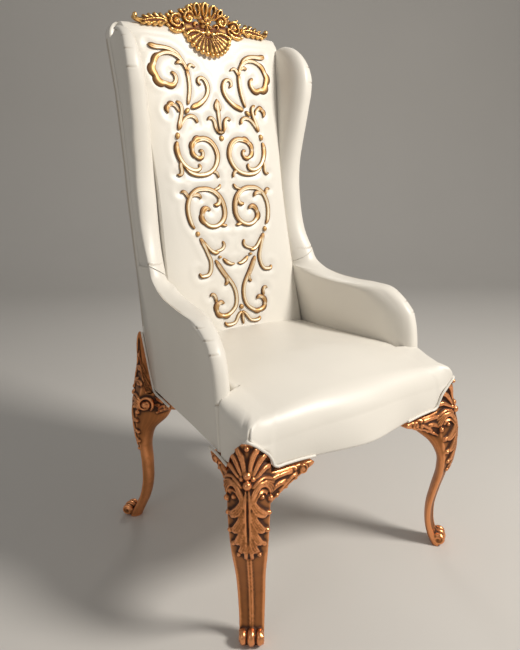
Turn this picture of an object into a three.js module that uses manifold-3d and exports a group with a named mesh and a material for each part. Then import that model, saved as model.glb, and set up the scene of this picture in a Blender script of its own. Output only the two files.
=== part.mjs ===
import * as THREE from 'three';
import { mergeVertices } from 'three/addons/utils/BufferGeometryUtils.js';
import Module from 'manifold-3d';

const wasm = await Module();
wasm.setup();

// Driving sizes in millimetres. x runs to the sitter's left, y to the back and z up.
// The origin is on the floor under the middle of the throne. Pieces are drawn for x > 0 and mirrored.
const gap = 0.4;
const frontRail = { y: -334, bow: 24, bottom: 368 };
const seatFront = { halfWidth: 289, y: -311, edge: 466 };
const seatCrown = { rise: 34, swell: 20, depth: 200 };
const cornerPeak = 440;
const frontNotch = { x: 227, z: 374 };
const sideNotch = { y: -250, z: 366 };
const earTip = { x: 133, y: -162 };
const sideRail = { bottom: 378, rear: 240, front: 286 };
const panel = { y: 131, z: 495, lean: 0.1734, crown: 28 };
const waist = { z: 870, half: 185.5, upper: 29, lower: 17 };
const topRoll = { start: 1120, set: 3, round: 1233 };
const backTop = 1253;
const outsideBack = { y: 241, z: 535, lean: 0.122, bulge: 8.4, half: 236, flare: 7, flange: 25 };
const armSeam = { z: 700, slope: 0.6 };
const armFront = { y: -196, inner: 240, outer: 289 };
const rearPeak = 530;
const rearCut = 47;
const scrollRise = 5;

// Colours, roughness and metalness of the finishes
const leather = { color: 0xefe6d8, roughness: 0.42, metalness: 0 };
const copperGold = { color: 0xa4642c, roughness: 0.4, metalness: 0.55 };
const yellowGold = { color: 0xb98a3c, roughness: 0.35, metalness: 0.6 };
const scrollGold = { color: 0xb07b3a, roughness: 0.45, metalness: 0.35 };

const point = (x, y, z) => new THREE.Vector3(x, y, z);
const mix = (from, to, part) => from + (to - from) * part;
const clamp = THREE.MathUtils.clamp;

function middleOf(ring) {
  const sum = ring.reduce((total, spot) => total.add(spot), point(0, 0, 0));
  return sum.divideScalar(ring.length);
}

function turnedOver(geometry) {
  const corners = geometry.index.array;
  for (let i = 0; i < corners.length; i += 3) {
    [corners[i + 1], corners[i + 2]] = [corners[i + 2], corners[i + 1]];
  }
  return geometry;
}

function volumeOf(geometry) {
  const spots = geometry.attributes.position;
  const corners = geometry.index.array;
  const [a, b, c] = [point(0, 0, 0), point(0, 0, 0), point(0, 0, 0)];
  let sum = 0;
  for (let i = 0; i < corners.length; i += 3) {
    a.fromBufferAttribute(spots, corners[i]);
    b.fromBufferAttribute(spots, corners[i + 1]);
    c.fromBufferAttribute(spots, corners[i + 2]);
    sum += a.dot(b.cross(c)) / 6;
  }
  return sum;
}

// Merges the shared corners and turns the faces outward
function closed(geometry) {
  geometry.deleteAttribute('normal');
  geometry.deleteAttribute('uv');
  const merged = mergeVertices(geometry, 1e-3);
  return volumeOf(merged) < 0 ? turnedOver(merged) : merged;
}

// A skin through rings of the same number of points, closed by a fan at each end
function loft(rings, firstCap = middleOf(rings[0]), lastCap = middleOf(rings.at(-1))) {
  const around = rings[0].length;
  const rows = rings.length + 2;
  const geometry = new THREE.SphereGeometry(1, around, rows - 1);
  const spots = geometry.attributes.position;
  for (let row = 0; row < rows; row += 1) {
    for (let column = 0; column <= around; column += 1) {
      let spot = firstCap;
      if (row === rows - 1) spot = lastCap;
      else if (row > 0) spot = rings[row - 1][column % around];
      spots.setXYZ(row * (around + 1) + column, spot.x, spot.y, spot.z);
    }
  }
  return closed(geometry);
}

function solidOf(geometry) {
  return new wasm.Manifold(new wasm.Mesh({
    numProp: 3,
    vertProperties: new Float32Array(geometry.attributes.position.array),
    triVerts: new Uint32Array(geometry.index.array),
  }));
}

// The largest body of a solid, without the crumbs that a cut can leave
function geometryOf(solid) {
  const bodies = solid.decompose();
  bodies.sort((one, other) => other.volume() - one.volume());
  const mesh = bodies[0].getMesh();
  const geometry = new THREE.BufferGeometry();
  geometry.setAttribute('position', new THREE.BufferAttribute(mesh.vertProperties, 3));
  geometry.setIndex(new THREE.BufferAttribute(mesh.triVerts, 1));
  return geometry;
}

function joined(geometries) {
  const [first, ...others] = geometries.map(solidOf);
  return geometryOf(others.reduce((whole, one) => whole.add(one), first));
}

function cutBy(geometry, cutters) {
  const solid = cutters.reduce((whole, cutter) => whole.subtract(solidOf(cutter)), solidOf(geometry));
  return geometryOf(solid);
}

const moved = (geometry, x, y, z) => geometry.clone().translate(x, y, z);

// A neighbour with a gap's width more on the sides named, such as [0, 0, -1] for below
const grown = (geometry, ...sides) => [geometry, ...sides.map((side) => moved(geometry, ...side.map((n) => n * gap)))];

function mirrored(geometry) {
  const copy = geometry.clone();
  copy.scale(-1, 1, 1);
  return turnedOver(copy);
}

// The same shape on both sides of the middle: its left half and that half mirrored
function symmetric(geometry) {
  const rightSide = closed(new THREE.BoxGeometry(1000, 2000, 3000).translate(-500, 0, 0));
  const half = cutBy(geometry, [rightSide]);
  return joined([half, mirrored(half)]);
}

// The back: half widths and depths at a height
function seamHalf(z) {
  if (z > waist.z) return waist.half + waist.upper * ((z - waist.z) / 348) ** 1.6;
  return waist.half + waist.lower * ((waist.z - z) / 372) ** 1.5;
}

function roundOff(z, start, top, size) {
  const part = clamp((z - start) / (top - start), 0, 1);
  return size * (1 - Math.sqrt(1 - part * part));
}

function panelMiddle(z) {
  const set = topRoll.set * (Math.max(0, z - topRoll.start) / 70) ** 1.4;
  return panel.y + panel.lean * (z - panel.z) + set + roundOff(z, topRoll.round, backTop, 14);
}

function rearFace(z) {
  const flat = outsideBack.y + outsideBack.lean * (z - outsideBack.z);
  return flat - roundOff(z, topRoll.round - 4, backTop, 20);
}

function flangeHalf(z) {
  const flared = outsideBack.half + outsideBack.flare * clamp((z - 1100) / 110, 0, 1);
  return flared - roundOff(z, topRoll.round - 14, backTop, 24);
}

function panelFront(x, z) {
  const deepest = Math.min(panel.crown, 0.4 * (rearFace(z) - panelMiddle(z)));
  return panelMiddle(z) + deepest * clamp(Math.abs(x) / seamHalf(z), 0, 1) ** 6;
}

function backRing(z) {
  const half = Math.min(seamHalf(z), flangeHalf(z) - 6);
  const rear = rearFace(z);
  const flange = rear - Math.min(outsideBack.flange, 0.4 * (rear - panelMiddle(z)));
  const front = [-1, -0.92, -0.8, -0.55, 0, 0.55, 0.8, 0.92, 1];
  const ring = front.map((part) => point(part * half, panelFront(part * half, z), z));
  const wide = flangeHalf(z);
  ring.push(point(half, flange, z), point(wide, flange, z), point(wide, rear, z));
  ring.push(point(wide * 0.5, rear + outsideBack.bulge * 0.8, z));
  ring.push(point(0, rear + outsideBack.bulge, z));
  ring.push(point(-wide * 0.5, rear + outsideBack.bulge * 0.8, z));
  ring.push(point(-wide, rear, z), point(-wide, flange, z), point(-half, flange, z));
  return ring;
}

function makeBack() {
  const heights = [386, 500, 620, 740, 870, 990, 1080, 1150, 1190, 1219, 1236, 1247, backTop];
  const rings = heights.map(backRing);
  const lowCap = point(0, rearFace(heights[0]) - 10, heights[0]);
  const topCap = point(0, rearFace(backTop) + 2, backTop);
  const slab = loft(rings, lowCap, topCap);
  return symmetric(cutBy(slab, [slantBlock(rearCorner, false)]));
}

// A leg takes a slanted corner out of the leather: highest at the corner, falling inward along both faces
const frontCorner = {
  x: seatFront.halfWidth, y: seatFront.y, inward: -1, peak: cornerPeak, reach: 100,
  acrossFall: (cornerPeak - frontNotch.z) / (seatFront.halfWidth - frontNotch.x),
  alongFall: (cornerPeak - sideNotch.z) / (sideNotch.y - seatFront.y),
};
const rearCorner = {
  x: sideRail.rear, y: outsideBack.y, inward: 1, peak: rearPeak, reach: 90,
  acrossFall: (rearPeak - 392) / rearCut,
  alongFall: (rearPeak - 392) / rearCut,
};

// The room under the slant, or over it, as a block that is lowered by some height
function slantBlock(corner, over, lowered = 0) {
  const size = corner.reach * 2;
  const block = new THREE.BoxGeometry(size, size, 2).translate(corner.x, corner.y, 0);
  const spots = block.attributes.position;
  for (let i = 0; i < spots.count; i += 1) {
    const across = corner.acrossFall * (corner.x - spots.getX(i));
    const along = corner.alongFall * corner.inward * (corner.y - spots.getY(i));
    const slanted = spots.getZ(i) > 0 !== over;
    spots.setZ(i, slanted ? corner.peak - across - along - lowered : over ? 1200 : -1200);
  }
  return closed(block);
}

// A padded border: the skin runs from the rear up the outer face, round the roll and back inside.
// Each rib goes from a point of the roll's outer edge to a point of the rear line.
const rollSection = [[0, 0], [0.1, -7], [0.4, -11], [0.76, -5], [1, 16]];

function paddedRing(rib) {
  const length = Math.hypot(rib.rear.y - rib.edge.y, rib.rear.z - rib.edge.z);
  const along = { y: (rib.rear.y - rib.edge.y) / length, z: (rib.rear.z - rib.edge.z) / length };
  const spot = (part, reach) => {
    const y = rib.edge.y + along.y * reach;
    const z = rib.edge.z + along.z * reach;
    const outer = reach <= 0 ? rib.edge.x : rib.outer(y, z);
    const inner = rib.inner(y, z);
    const x = mix(outer, inner, part);
    return point(x, y, z - rib.slope * (rib.edge.x - x));
  };
  const outside = [spot(0, length), spot(0, length * 0.45)];
  const roll = rollSection.map(([part, reach]) => spot(part, reach));
  const inside = [spot(1, Math.max(24, length * 0.4)), spot(1, length)];
  return [...outside, ...roll, ...inside];
}

const flangeFace = (z) => rearFace(z) - Math.min(outsideBack.flange, 0.4 * (rearFace(z) - panelMiddle(z)));

// Wing edge from the arm seam up and over: z, y, x and the height where its rib meets the rear line
const wingEdge = [
  [700, 155, 249, 696], [749, 183, 246, 745], [796, 198, 245, 792], [844, 205, 244, 840],
  [891, 208, 244, 888], [939, 205, 245, 936], [984, 198, 249, 982], [1029, 189, 252, 1030],
  [1072, 182, 256, 1078], [1114, 176, 260, 1120], [1150, 178, 261, 1154], [1182, 191, 258, 1178],
  [1208, 212, 253, 1196], [1223, 236, 250, 1206], [1230, 262, 247, 1214],
];

function wingOuter(edgeX, edgeY) {
  return (y, z) => mix(edgeX, flangeHalf(Math.min(z, topRoll.round - 20)) + 1, clamp((y - edgeY) / (flangeFace(z) - edgeY), 0, 1));
}

function makeWing(back) {
  const rings = wingEdge.map(([z, y, x, rearZ]) => paddedRing({
    edge: point(x, y, z),
    rear: { y: flangeFace(rearZ), z: rearZ },
    outer: wingOuter(x, y),
    inner: (depth, height) => seamHalf(height),
    slope: armSeam.slope * clamp(1 - (z - armSeam.z) / 150, 0, 1),
  }));
  return cutBy(loft(rings), grown(back, [1, -1, 0]));
}

// Arm edge from the wing seam forward, down the front and to the rail: z, y, x and the rear height
const armEdge = [
  [700, 155, 249, 696], [677, 143, 251, 684], [655, 110, 255, 668], [641, 62, 263, 648],
  [634, -2, 272, 625], [631, -68, 283, 600], [625, -114, 286, 572], [610, -143, 286, 546],
  [593, -164, 287, 524], [573, -180, 289, 502], [550, -188, 289, 482], [520, -193, 289, 462],
  [482, -196, 289, 440], [430, -196, 288, 410], [sideRail.bottom, -196, 286, 384],
];

function armOuter(y, z) {
  const top = mix(244, armFront.outer, clamp((175 - y) / 295, 0, 1));
  const bottom = mix(sideRail.rear, sideRail.front, clamp((192 - y) / 388, 0, 1));
  return mix(bottom, top, clamp((z - sideRail.bottom) / 230, 0, 1));
}

function armInner(y, z) {
  return mix(seamHalf(z), armFront.inner, clamp((135 - y) / 325, 0, 1));
}

function makeArm(back, wing) {
  const rings = armEdge.map(([z, y, x, rearZ]) => paddedRing({
    edge: point(x, y, z),
    rear: { y: flangeFace(rearZ), z: rearZ },
    outer: armOuter,
    inner: armInner,
    slope: armSeam.slope * clamp(1 - (armSeam.z - z) / 50, 0, 1),
  }));
  const cutters = [...grown(back, [1, -1, 0]), ...grown(wing, [0, 0, -1]), slantBlock(rearCorner, false)];
  return cutBy(loft(rings), cutters);
}

// The seat: its outline from the middle of the front to the rear, with the height of its lower edge
function railBow(x) {
  return Math.abs(x) < 160 ? frontRail.bow * Math.cos(x / 160 * Math.PI / 2) ** 2 : 0;
}

function seatOutline() {
  const front = seatFront.y;
  const { halfWidth } = seatFront;
  const bowed = [0, 50, 100].map((x) => [x, front + 1 - railBow(x), frontRail.bottom]);
  const corner = [
    [earTip.x + 20, front + 1, frontRail.bottom], [frontNotch.x, front + 1, frontNotch.z],
    [halfWidth - 5, front, frontNotch.z], [halfWidth, front + 7, sideNotch.z],
    [halfWidth, sideNotch.y, sideNotch.z], [halfWidth - 2, armFront.y + 6, sideRail.bottom],
  ];
  const inside = [
    [armFront.inner + 16, armFront.y + 8, sideRail.bottom], [206, 150, sideRail.bottom],
    [100, 152, sideRail.bottom],
  ];
  const half = [...bowed, ...corner, ...inside];
  const other = half.slice(1).reverse().map(([x, y, z]) => [-x, y, z]);
  return [...half, [0, 152, sideRail.bottom], ...other];
}

function seatTop(x, y) {
  const back = Math.sin(clamp((y - seatFront.y) / seatCrown.depth, 0, 1) * Math.PI / 2);
  const across = 1 - clamp(Math.abs(x) / 220, 0, 1) ** 2;
  return seatFront.edge + seatCrown.rise * back + seatCrown.swell * across * (0.3 + 0.7 * back);
}

// Each ring is the outline drawn in towards the middle, at a height or on the crown less a drop
function makeSeat(back, arm) {
  const outline = seatOutline();
  const middle = { x: 0, y: -90 };
  const drawn = (scale, height) => outline.map(([x, y, low]) => {
    const at = { x: mix(middle.x, x, scale), y: mix(middle.y, y, scale) };
    return point(at.x, at.y, height(at, low));
  });
  const rings = [
    drawn(0.84, (at) => sideRail.bottom + 8),
    drawn(0.988, (at, low) => low),
    drawn(1, () => 448),
    drawn(0.995, (at) => seatTop(at.x, at.y) - 6),
    drawn(0.965, (at) => seatTop(at.x, at.y) + 3),
    drawn(0.86, (at) => seatTop(at.x, at.y)),
    drawn(0.5, (at) => seatTop(at.x, at.y)),
  ];
  const low = point(middle.x, middle.y, sideRail.bottom + 8);
  const high = point(middle.x, middle.y, seatTop(middle.x, middle.y));
  const cutters = [...grown(back, [0, -1, 0]), ...grown(arm, [-1, -1, 0])];
  cutters.push(slantBlock(frontCorner, false));
  return symmetric(cutBy(loft(rings, low, high), cutters));
}

// A leg is drawn in the upright plane through the corner: outward from the corner and across.
// Its stations: height, outer face, inner face, half width and how far the outer face falls to its sides.
const frontStations = [
  [438, 12, -44, 36, 36], [392, 12, -66, 42, 46], [352, 21, -82, 42, 44], [315, 27, -84, 41, 35],
  [282, 27, -38, 40, 26], [250, 24, -17, 38, 19], [205, 13, -13, 35, 12], [150, -3, -24, 30, 9],
  [100, -13, -33, 28, 8], [50, -9, -31, 26, 8], [22, 2, -24, 25, 7], [0, 8, -14, 24, 3],
];
const rearStations = [
  [536, 13, -12, 12, 8], [500, 17, -22, 22, 18], [446, 20, -36, 31, 28], [400, 31, -50, 36, 34],
  [350, 40, -66, 37, 30], [305, 44, -52, 33, 20], [265, 41, -12, 29, 15], [225, 35, 3, 25, 11],
  [165, 29, 2, 21, 7], [105, 32, 5, 19, 6], [60, 45, 18, 19, 6], [28, 62, 34, 20, 5], [0, 74, 48, 19, 3],
];
const frontLeg = {
  x: 283, y: -296.4, turn: -52, stations: frontStations, toe: { out: 4, z: 18, radius: 17.6, half: 25 },
};
const rearLeg = {
  x: 238, y: 226, turn: 54, stations: rearStations, toe: { out: 80, z: 17.4, radius: 17, half: 22 },
};

// Fractions across the outer face with the rise of the twin ribs, then across the inner face
const outerAcross = [[-1, 0], [-0.6, 0], [-0.15, 2.5], [0, 0], [0.15, 2.5], [0.6, 0], [1, 0]];
const innerAcross = [[0.6, 0], [-0.6, 0]];

function legSpot(leg, out, across, z) {
  const angle = THREE.MathUtils.degToRad(leg.turn);
  const x = leg.x + out * Math.cos(angle) - across * Math.sin(angle);
  const y = leg.y + out * Math.sin(angle) + across * Math.cos(angle);
  return point(x, y, z);
}

function legRing(leg, [z, outer, inner, half, fall]) {
  const ribbed = clamp((250 - z) / 40, 0, 1);
  const front = outerAcross.map(([part, rise]) => (
    legSpot(leg, outer - fall * Math.abs(part) ** 1.6 + rise * ribbed, part * half, z)));
  const rear = innerAcross.map(([part, rise]) => (
    legSpot(leg, mix(inner, outer - fall, rise), part * half, z)));
  return [...front, ...rear];
}

function stationAt(leg, z) {
  const rows = leg.stations;
  const last = rows.findIndex((row) => row[0] <= z);
  const upper = rows[Math.max(0, last - 1)];
  const lower = rows[Math.max(1, last)];
  const part = (upper[0] - z) / (upper[0] - lower[0]);
  return upper.map((value, i) => mix(value, lower[i], part));
}

// A place on the outer face of a leg, some way proud of it
function onLeg(leg, z, across, proud) {
  const [, outer, , half, fall] = stationAt(leg, z);
  const out = outer - fall * clamp(Math.abs(across) / half, 0, 1) ** 1.6;
  return legSpot(leg, out + proud, across, z);
}

// A carved frond: a three-sided leaf, thickest past its middle, half sunk in the face of the leg
function frond(leg, from, to, width, proud) {
  const steps = [[0, 0.35], [0.55, 1], [1, 0.15]];
  const length = Math.hypot(to.z - from.z, to.across - from.across);
  const side = { z: (to.across - from.across) / length, across: -(to.z - from.z) / length };
  const rings = steps.map(([part, size]) => {
    const z = mix(from.z, to.z, part);
    const across = mix(from.across, to.across, part);
    const reach = width * size;
    return [
      onLeg(leg, z, across, proud * size),
      onLeg(leg, z + side.z * reach, across + side.across * reach, -2),
      onLeg(leg, z - side.z * reach, across - side.across * reach, -2),
    ];
  });
  return loft(rings);
}

function bead(spot, radius) {
  return closed(new THREE.SphereGeometry(radius, 6, 4).rotateX(Math.PI / 2).translate(spot.x, spot.y, spot.z));
}

function toeScroll(leg) {
  const { out, z, radius, half } = leg.toe;
  const profile = [[0, -half], [radius, -half + 5], [radius, half - 5], [0, half]];
  const roller = closed(new THREE.LatheGeometry(profile.map(([r, y]) => new THREE.Vector2(r, y)), 10));
  const angle = THREE.MathUtils.degToRad(leg.turn);
  const place = legSpot(leg, out, 0, z);
  return roller.rotateZ(angle).translate(place.x, place.y, place.z);
}

// An ear: the bracket between the knee and the rail, with a round scroll at its tip
function earShape(reach, root, top, tipTop) {
  const tipRadius = 9;
  const shape = new THREE.Shape();
  shape.moveTo(0, top);
  shape.lineTo(reach - tipRadius, tipTop);
  shape.absarc(reach - tipRadius, tipTop - tipRadius, tipRadius, Math.PI / 2, -Math.PI * 0.75, true);
  shape.quadraticCurveTo(reach * 0.35, tipTop - 26, 0, root);
  return shape;
}

function ear(from, turn, reach, root, top, tipTop, thickness) {
  const shape = earShape(reach, root, top, tipTop);
  const plate = new THREE.ExtrudeGeometry(shape, { depth: thickness, bevelEnabled: false, curveSegments: 4 });
  plate.rotateX(Math.PI / 2).rotateZ(THREE.MathUtils.degToRad(turn)).translate(from.x, from.y, 0);
  return closed(plate);
}

function fanFronds(leg, centre, count, spread, reach, width) {
  const fronds = [];
  for (let i = 0; i < count; i += 1) {
    const angle = mix(-spread, spread, i / (count - 1));
    const from = { z: centre + 8 * Math.cos(angle), across: 8 * Math.sin(angle) };
    const to = { z: centre + reach * Math.cos(angle), across: reach * 0.5 * Math.sin(angle) };
    fronds.push(frond(leg, from, to, width, 6));
  }
  return fronds;
}

function fallingFronds(leg, top, step, count, reach) {
  const fronds = [];
  for (let i = 0; i < count; i += 1) {
    for (const side of [-1, 1]) {
      const from = { z: top - i * step, across: side * 9 };
      const to = { z: top - 34 - i * step, across: side * (reach - 3 * i) };
      fronds.push(frond(leg, from, to, 7, 5));
    }
  }
  return fronds;
}

// The plain block behind the knee, under the rails
function kneeBlock(x, y, top) {
  return closed(new THREE.BoxGeometry(44, 50, 60).translate(x, y, top - 30));
}

// How far a leg's top stays under the slant of the leather
const legDrop = { front: 2, rear: 3 };

function makeFrontLeg() {
  const body = loft(frontLeg.stations.map((station) => legRing(frontLeg, station)));
  const carving = [
    ...fanFronds(frontLeg, 336, 5, 1.2, 72, 11),
    ...fallingFronds(frontLeg, 316, 34, 2, 34),
    frond(frontLeg, { z: 322, across: 0 }, { z: 205, across: 0 }, 8, 6),
    bead(onLeg(frontLeg, 336, 0, 2), 9),
  ];
  const knee = cutBy(joined([body, ...carving]), [slantBlock(frontCorner, true, legDrop.front)]);
  return joined([
    knee, toeScroll(frontLeg), kneeBlock(246, -270, 350),
    ear(point(262, -309, 0), 180, 262 - earTip.x, 290, 367, frontRail.bottom - 7, 34),
    ear(point(284, -262, 0), 90, earTip.y + 262, 292, 342, sideRail.bottom - 7, -34),
  ]);
}

function makeRearLeg() {
  const body = loft(rearLeg.stations.map((station) => legRing(rearLeg, station)));
  const carving = [
    ...fanFronds(rearLeg, 400, 3, 0.9, 84, 9),
    ...fallingFronds(rearLeg, 366, 40, 1, 28),
    bead(onLeg(rearLeg, 390, 0, 2), 9),
  ];
  const knee = cutBy(joined([body, ...carving]), [slantBlock(rearCorner, true, legDrop.rear)]);
  return joined([
    knee, toeScroll(rearLeg), kneeBlock(212, 196, 372),
    ear(point(238, 214, 0), -90, 134, 296, sideRail.bottom - 6, sideRail.bottom - 6, 30),
    ear(point(218, 228, 0), 180, 90, 300, 380, 380, -30),
  ]);
}

// The scrollwork lies on the panel: strokes of u across, height and half width
function onPanel(side, u, z, rise) {
  const x = side * u;
  return point(x, panelFront(x, z) - gap - rise, z);
}

function stroke(side, spots, rise = scrollRise, density = 0.62) {
  const route = new THREE.CatmullRomCurve3(spots.map(([u, z, half]) => point(u, z, half)), false, 'centripetal');
  const steps = Math.max(3, Math.round((spots.length - 1) * density));
  const rings = [];
  for (let i = 0; i <= steps; i += 1) {
    const spot = route.getPoint(i / steps);
    const ahead = route.getTangent(i / steps);
    const length = Math.hypot(ahead.x, ahead.y);
    const across = { u: -ahead.y / length * spot.z, z: ahead.x / length * spot.z };
    rings.push([
      onPanel(side, spot.x - across.u, spot.y - across.z, 0),
      onPanel(side, spot.x, spot.y, rise * Math.min(1, spot.z / 3)),
      onPanel(side, spot.x + across.u, spot.y + across.z, 0),
    ]);
  }
  return loft(rings);
}

function drop(side, u, z, halfWidth, halfLength, tilt = 0) {
  const rim = [];
  const shoulder = [];
  for (let i = 0; i < 8; i += 1) {
    const angle = i / 8 * Math.PI * 2;
    const [a, b] = [halfWidth * Math.cos(angle), halfLength * Math.sin(angle)];
    const du = a * Math.cos(tilt) - b * Math.sin(tilt);
    const dz = a * Math.sin(tilt) + b * Math.cos(tilt);
    rim.push(onPanel(side, u + du, z + dz, 0));
    shoulder.push(onPanel(side, u + du * 0.65, z + dz * 0.65, scrollRise * 0.8));
  }
  return loft([rim, shoulder], onPanel(side, u, z, 0), onPanel(side, u, z, scrollRise));
}

const scrolls = {
  scroll_crown: [
    [[74, 1150, 5], [80, 1165, 5], [92, 1180, 5.5], [108, 1188, 5.5], [122, 1189, 5], [138, 1185, 5],
      [151, 1176, 5.5], [159, 1163, 6], [165, 1149, 8], [160, 1136, 7.5], [155, 1124, 8], [146, 1118, 7.5],
      [136, 1117, 6], [124, 1114, 6], [112, 1119, 6], [107, 1130, 5.5], [110, 1140, 5], [119, 1145, 3]],
    [[86, 1176, 4], [96, 1188, 5.5], [112, 1197, 5.5], [130, 1200, 5.5], [148, 1200, 6.5], [160, 1202, 7],
      [168, 1204, 3.5]],
    [[84, 1070, 2.5], [81, 1080, 4.5], [76, 1098, 5], [73, 1118, 5], [73, 1136, 5], [75, 1152, 5]],
    [[80, 1160, 3], [86, 1169, 4.5], [95, 1170, 5], [103, 1165, 3]],
    [[74, 1148, 3], [70, 1160, 5], [64, 1166, 4], [57, 1164, 3], [50, 1159, 1.5]],
  ],
  comma: [
    [[41, 1118, 2], [48, 1123, 4], [49, 1131, 4], [42, 1137, 4], [32, 1135, 5], [25, 1126, 6], [22, 1112, 6],
      [25, 1100, 5.5], [32, 1089, 5.5], [43, 1079, 6.5], [56, 1071, 7.5], [67, 1067, 7.5], [77, 1062, 3]],
  ],
  palm: [
    [[118, 1010, 3], [114, 1020, 6.5], [109, 1036, 5.5], [104, 1052, 5], [103, 1066, 5], [108, 1075, 4.5],
      [116, 1077, 2.5]],
    [[110, 1052, 3], [118, 1066, 4], [128, 1071, 4.5], [137, 1066, 5], [142, 1056, 4.5], [139, 1048, 2.5]],
    [[115, 1014, 4], [108, 1026, 4.5], [100, 1036, 4.5], [90, 1043, 4.5], [78, 1045, 5], [68, 1040, 5],
      [63, 1028, 3.5]],
  ],
  spiral: [
    [[126, 985, 3], [129, 974, 6.5], [129, 962, 7.5], [126, 948, 7], [118, 933, 6.5], [107, 922, 6.5],
      [94, 916, 6], [82, 915, 5.5], [73, 919, 5], [70, 926, 4], [75, 931, 2.5]],
    [[114, 924, 3], [102, 911, 5], [86, 905, 5.5], [70, 904, 6], [54, 906, 6], [40, 912, 6], [28, 923, 6],
      [20, 937, 6.5], [17, 951, 7], [20, 966, 7], [27, 979, 7], [38, 988, 7], [51, 992, 6.5], [66, 990, 6.5],
      [79, 984, 6], [87, 973, 5.5], [88, 961, 5], [82, 950, 5], [72, 945, 4.5], [62, 948, 4.5],
      [58, 957, 4.5], [64, 964, 4.5], [69, 960, 2.5]],
    [[122, 942, 2.5], [124, 924, 4.5], [123, 910, 5], [129, 904, 4.5], [137, 907, 2]],
    [[42, 912, 3], [32, 913, 4], [24, 907, 4], [21, 896, 2.5]],
  ],
  lower_scroll: [
    [[108, 775, 3], [115, 786, 5.5], [119, 800, 6], [121, 815, 6], [120, 830, 6], [116, 843, 6], [109, 855, 6],
      [99, 864, 6], [87, 870, 6], [74, 871, 6], [61, 871, 6], [49, 868, 6], [38, 862, 6.5], [28, 853, 7],
      [20, 840, 7], [16, 824, 7], [16, 808, 7], [21, 795, 7], [31, 785, 6.5], [44, 779, 6], [57, 778, 6],
      [69, 782, 6], [79, 791, 6], [84, 802, 6], [81, 813, 5.5], [74, 821, 5.5], [65, 824, 5], [57, 817, 2.5]],
    [[112, 851, 3], [103, 857, 4.5], [93, 858, 5], [84, 856, 5], [79, 847, 3]],
    [[30, 857, 4], [27, 845, 5], [30, 834, 6], [38, 830, 6], [46, 832, 3]],
    [[42, 866, 3], [31, 870, 4], [23, 873, 4.5], [20, 882, 2]],
    [[114, 849, 4], [119, 859, 5], [126, 867, 4.5], [134, 864, 2]],
    [[32, 783, 4], [22, 779, 4.5], [13, 779, 3]],
  ],
  branch: [
    [[97, 753, 2.5], [91, 743, 6.5], [85, 727, 5], [79, 710, 5], [74, 695, 5.5], [75, 680, 5.5], [79, 668, 5.5],
      [87, 660, 5.5], [97, 659, 5], [107, 659, 5], [110, 668, 2.5]],
    [[89, 744, 4], [78, 729, 4.5], [68, 718, 5], [57, 713, 6], [47, 714, 3]],
    [[60, 716, 3], [46, 718, 4], [35, 722, 4.5], [29, 731, 4.5], [33, 741, 2.5]],
  ],
  long_scroll: [
    [[61, 696, 3], [54, 684, 6.5], [46, 670, 7], [37, 656, 7], [28, 645, 6], [19, 632, 5.5], [13, 617, 5.5],
      [11, 603, 5.5], [12, 588, 5.5], [17, 574, 5.5], [27, 564, 5.5], [39, 557, 5.5], [52, 555, 5.5],
      [65, 558, 5.5], [74, 567, 5.5], [74, 579, 5.5], [67, 588, 5.5], [57, 591, 5], [50, 584, 2.5]],
    [[37, 658, 5], [33, 646, 5.5], [34, 637, 5.5], [41, 631, 3.5]],
    [[73, 590, 4], [73, 602, 5], [78, 612, 4.5], [86, 613, 2.5], [88, 607, 1.5]],
  ],
  small_leaf: [
    [[38, 698, 3], [31, 690, 6], [21, 684, 5.5], [11, 681, 4], [4, 683, 1.5]],
  ],
};

const beads = {
  bead_upper: [89, 1056, 5.5, 9, 0.75],
  bead_shoulder: [123, 997, 6, 8, 0.2],
  bead_waist: [102, 763, 6, 6.5, 0],
  bead_branch: [47, 702, 5, 3.8, 0],
};

function makeFleur() {
  const leaf = [[0, 1010, 3], [0, 1030, 4.5], [0, 1048, 5.5], [0, 1064, 5], [0, 1078, 4.5], [0, 1089, 1.5]];
  const side = [[8, 1008, 3], [13, 1020, 5.5], [14, 1032, 5], [20, 1041, 4.5], [28, 1043, 4], [34, 1036, 2]];
  const bud = [[4, 1058, 2.5], [8, 1069, 3.5], [2, 1085, 2]];
  const foot = [[-12, 1009, 3], [0, 1006, 5], [12, 1009, 3]];
  return joined([stroke(1, leaf), stroke(1, foot), stroke(1, side), stroke(-1, side), stroke(1, bud), stroke(-1, bud)]);
}

function makePalmette() {
  const middle = [[0, 558, 2.5], [0, 548, 5], [0, 536, 4.5], [0, 525, 1.5]];
  const arch = [[0, 559, 3], [9, 553, 4.5], [16, 543, 4.5], [24, 533, 4.5], [34, 530, 4.5], [45, 530, 5.5],
    [53, 532, 5], [54, 539, 2.5]];
  return joined([stroke(1, middle), stroke(1, arch), stroke(-1, arch)]);
}

// The crest, drawn flat: x across, height, then its depth. The drop below it leans with the panel.
const crestFront = 280;
const crestDepth = 20;
const dropFoot = { y: 256, z: 1190, lean: 22 };

function crestOutline() {
  const half = [
    [70, 1240], [92, 1242], [106, 1242], [112, 1247], [140, 1247], [168, 1250], [186, 1254], [190, 1263],
    [184, 1267], [174, 1261], [152, 1268], [135, 1277], [122, 1273], [108, 1279], [96, 1286], [84, 1286],
    [75, 1295], [63, 1293], [53, 1303], [41, 1300], [32, 1309], [20, 1307], [10, 1316],
  ];
  const shape = new THREE.Shape();
  shape.moveTo(0, 1240);
  half.forEach(([x, z]) => shape.lineTo(x, z));
  shape.lineTo(0, 1313);
  half.reverse().forEach(([x, z]) => shape.lineTo(-x, z));
  for (const [x, z, a, b] of [[9, 1295, 4, 7], [27, 1291, 5, 6]]) {
    for (const side of [-1, 1]) {
      const hole = new THREE.Path();
      hole.absellipse(side * x, z, a, b, 0, Math.PI * 2, true, -side * 0.35);
      shape.holes.push(hole);
    }
  }
  return shape;
}

const flatSpot = (x, z, proud) => point(x, -proud, z);

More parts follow.
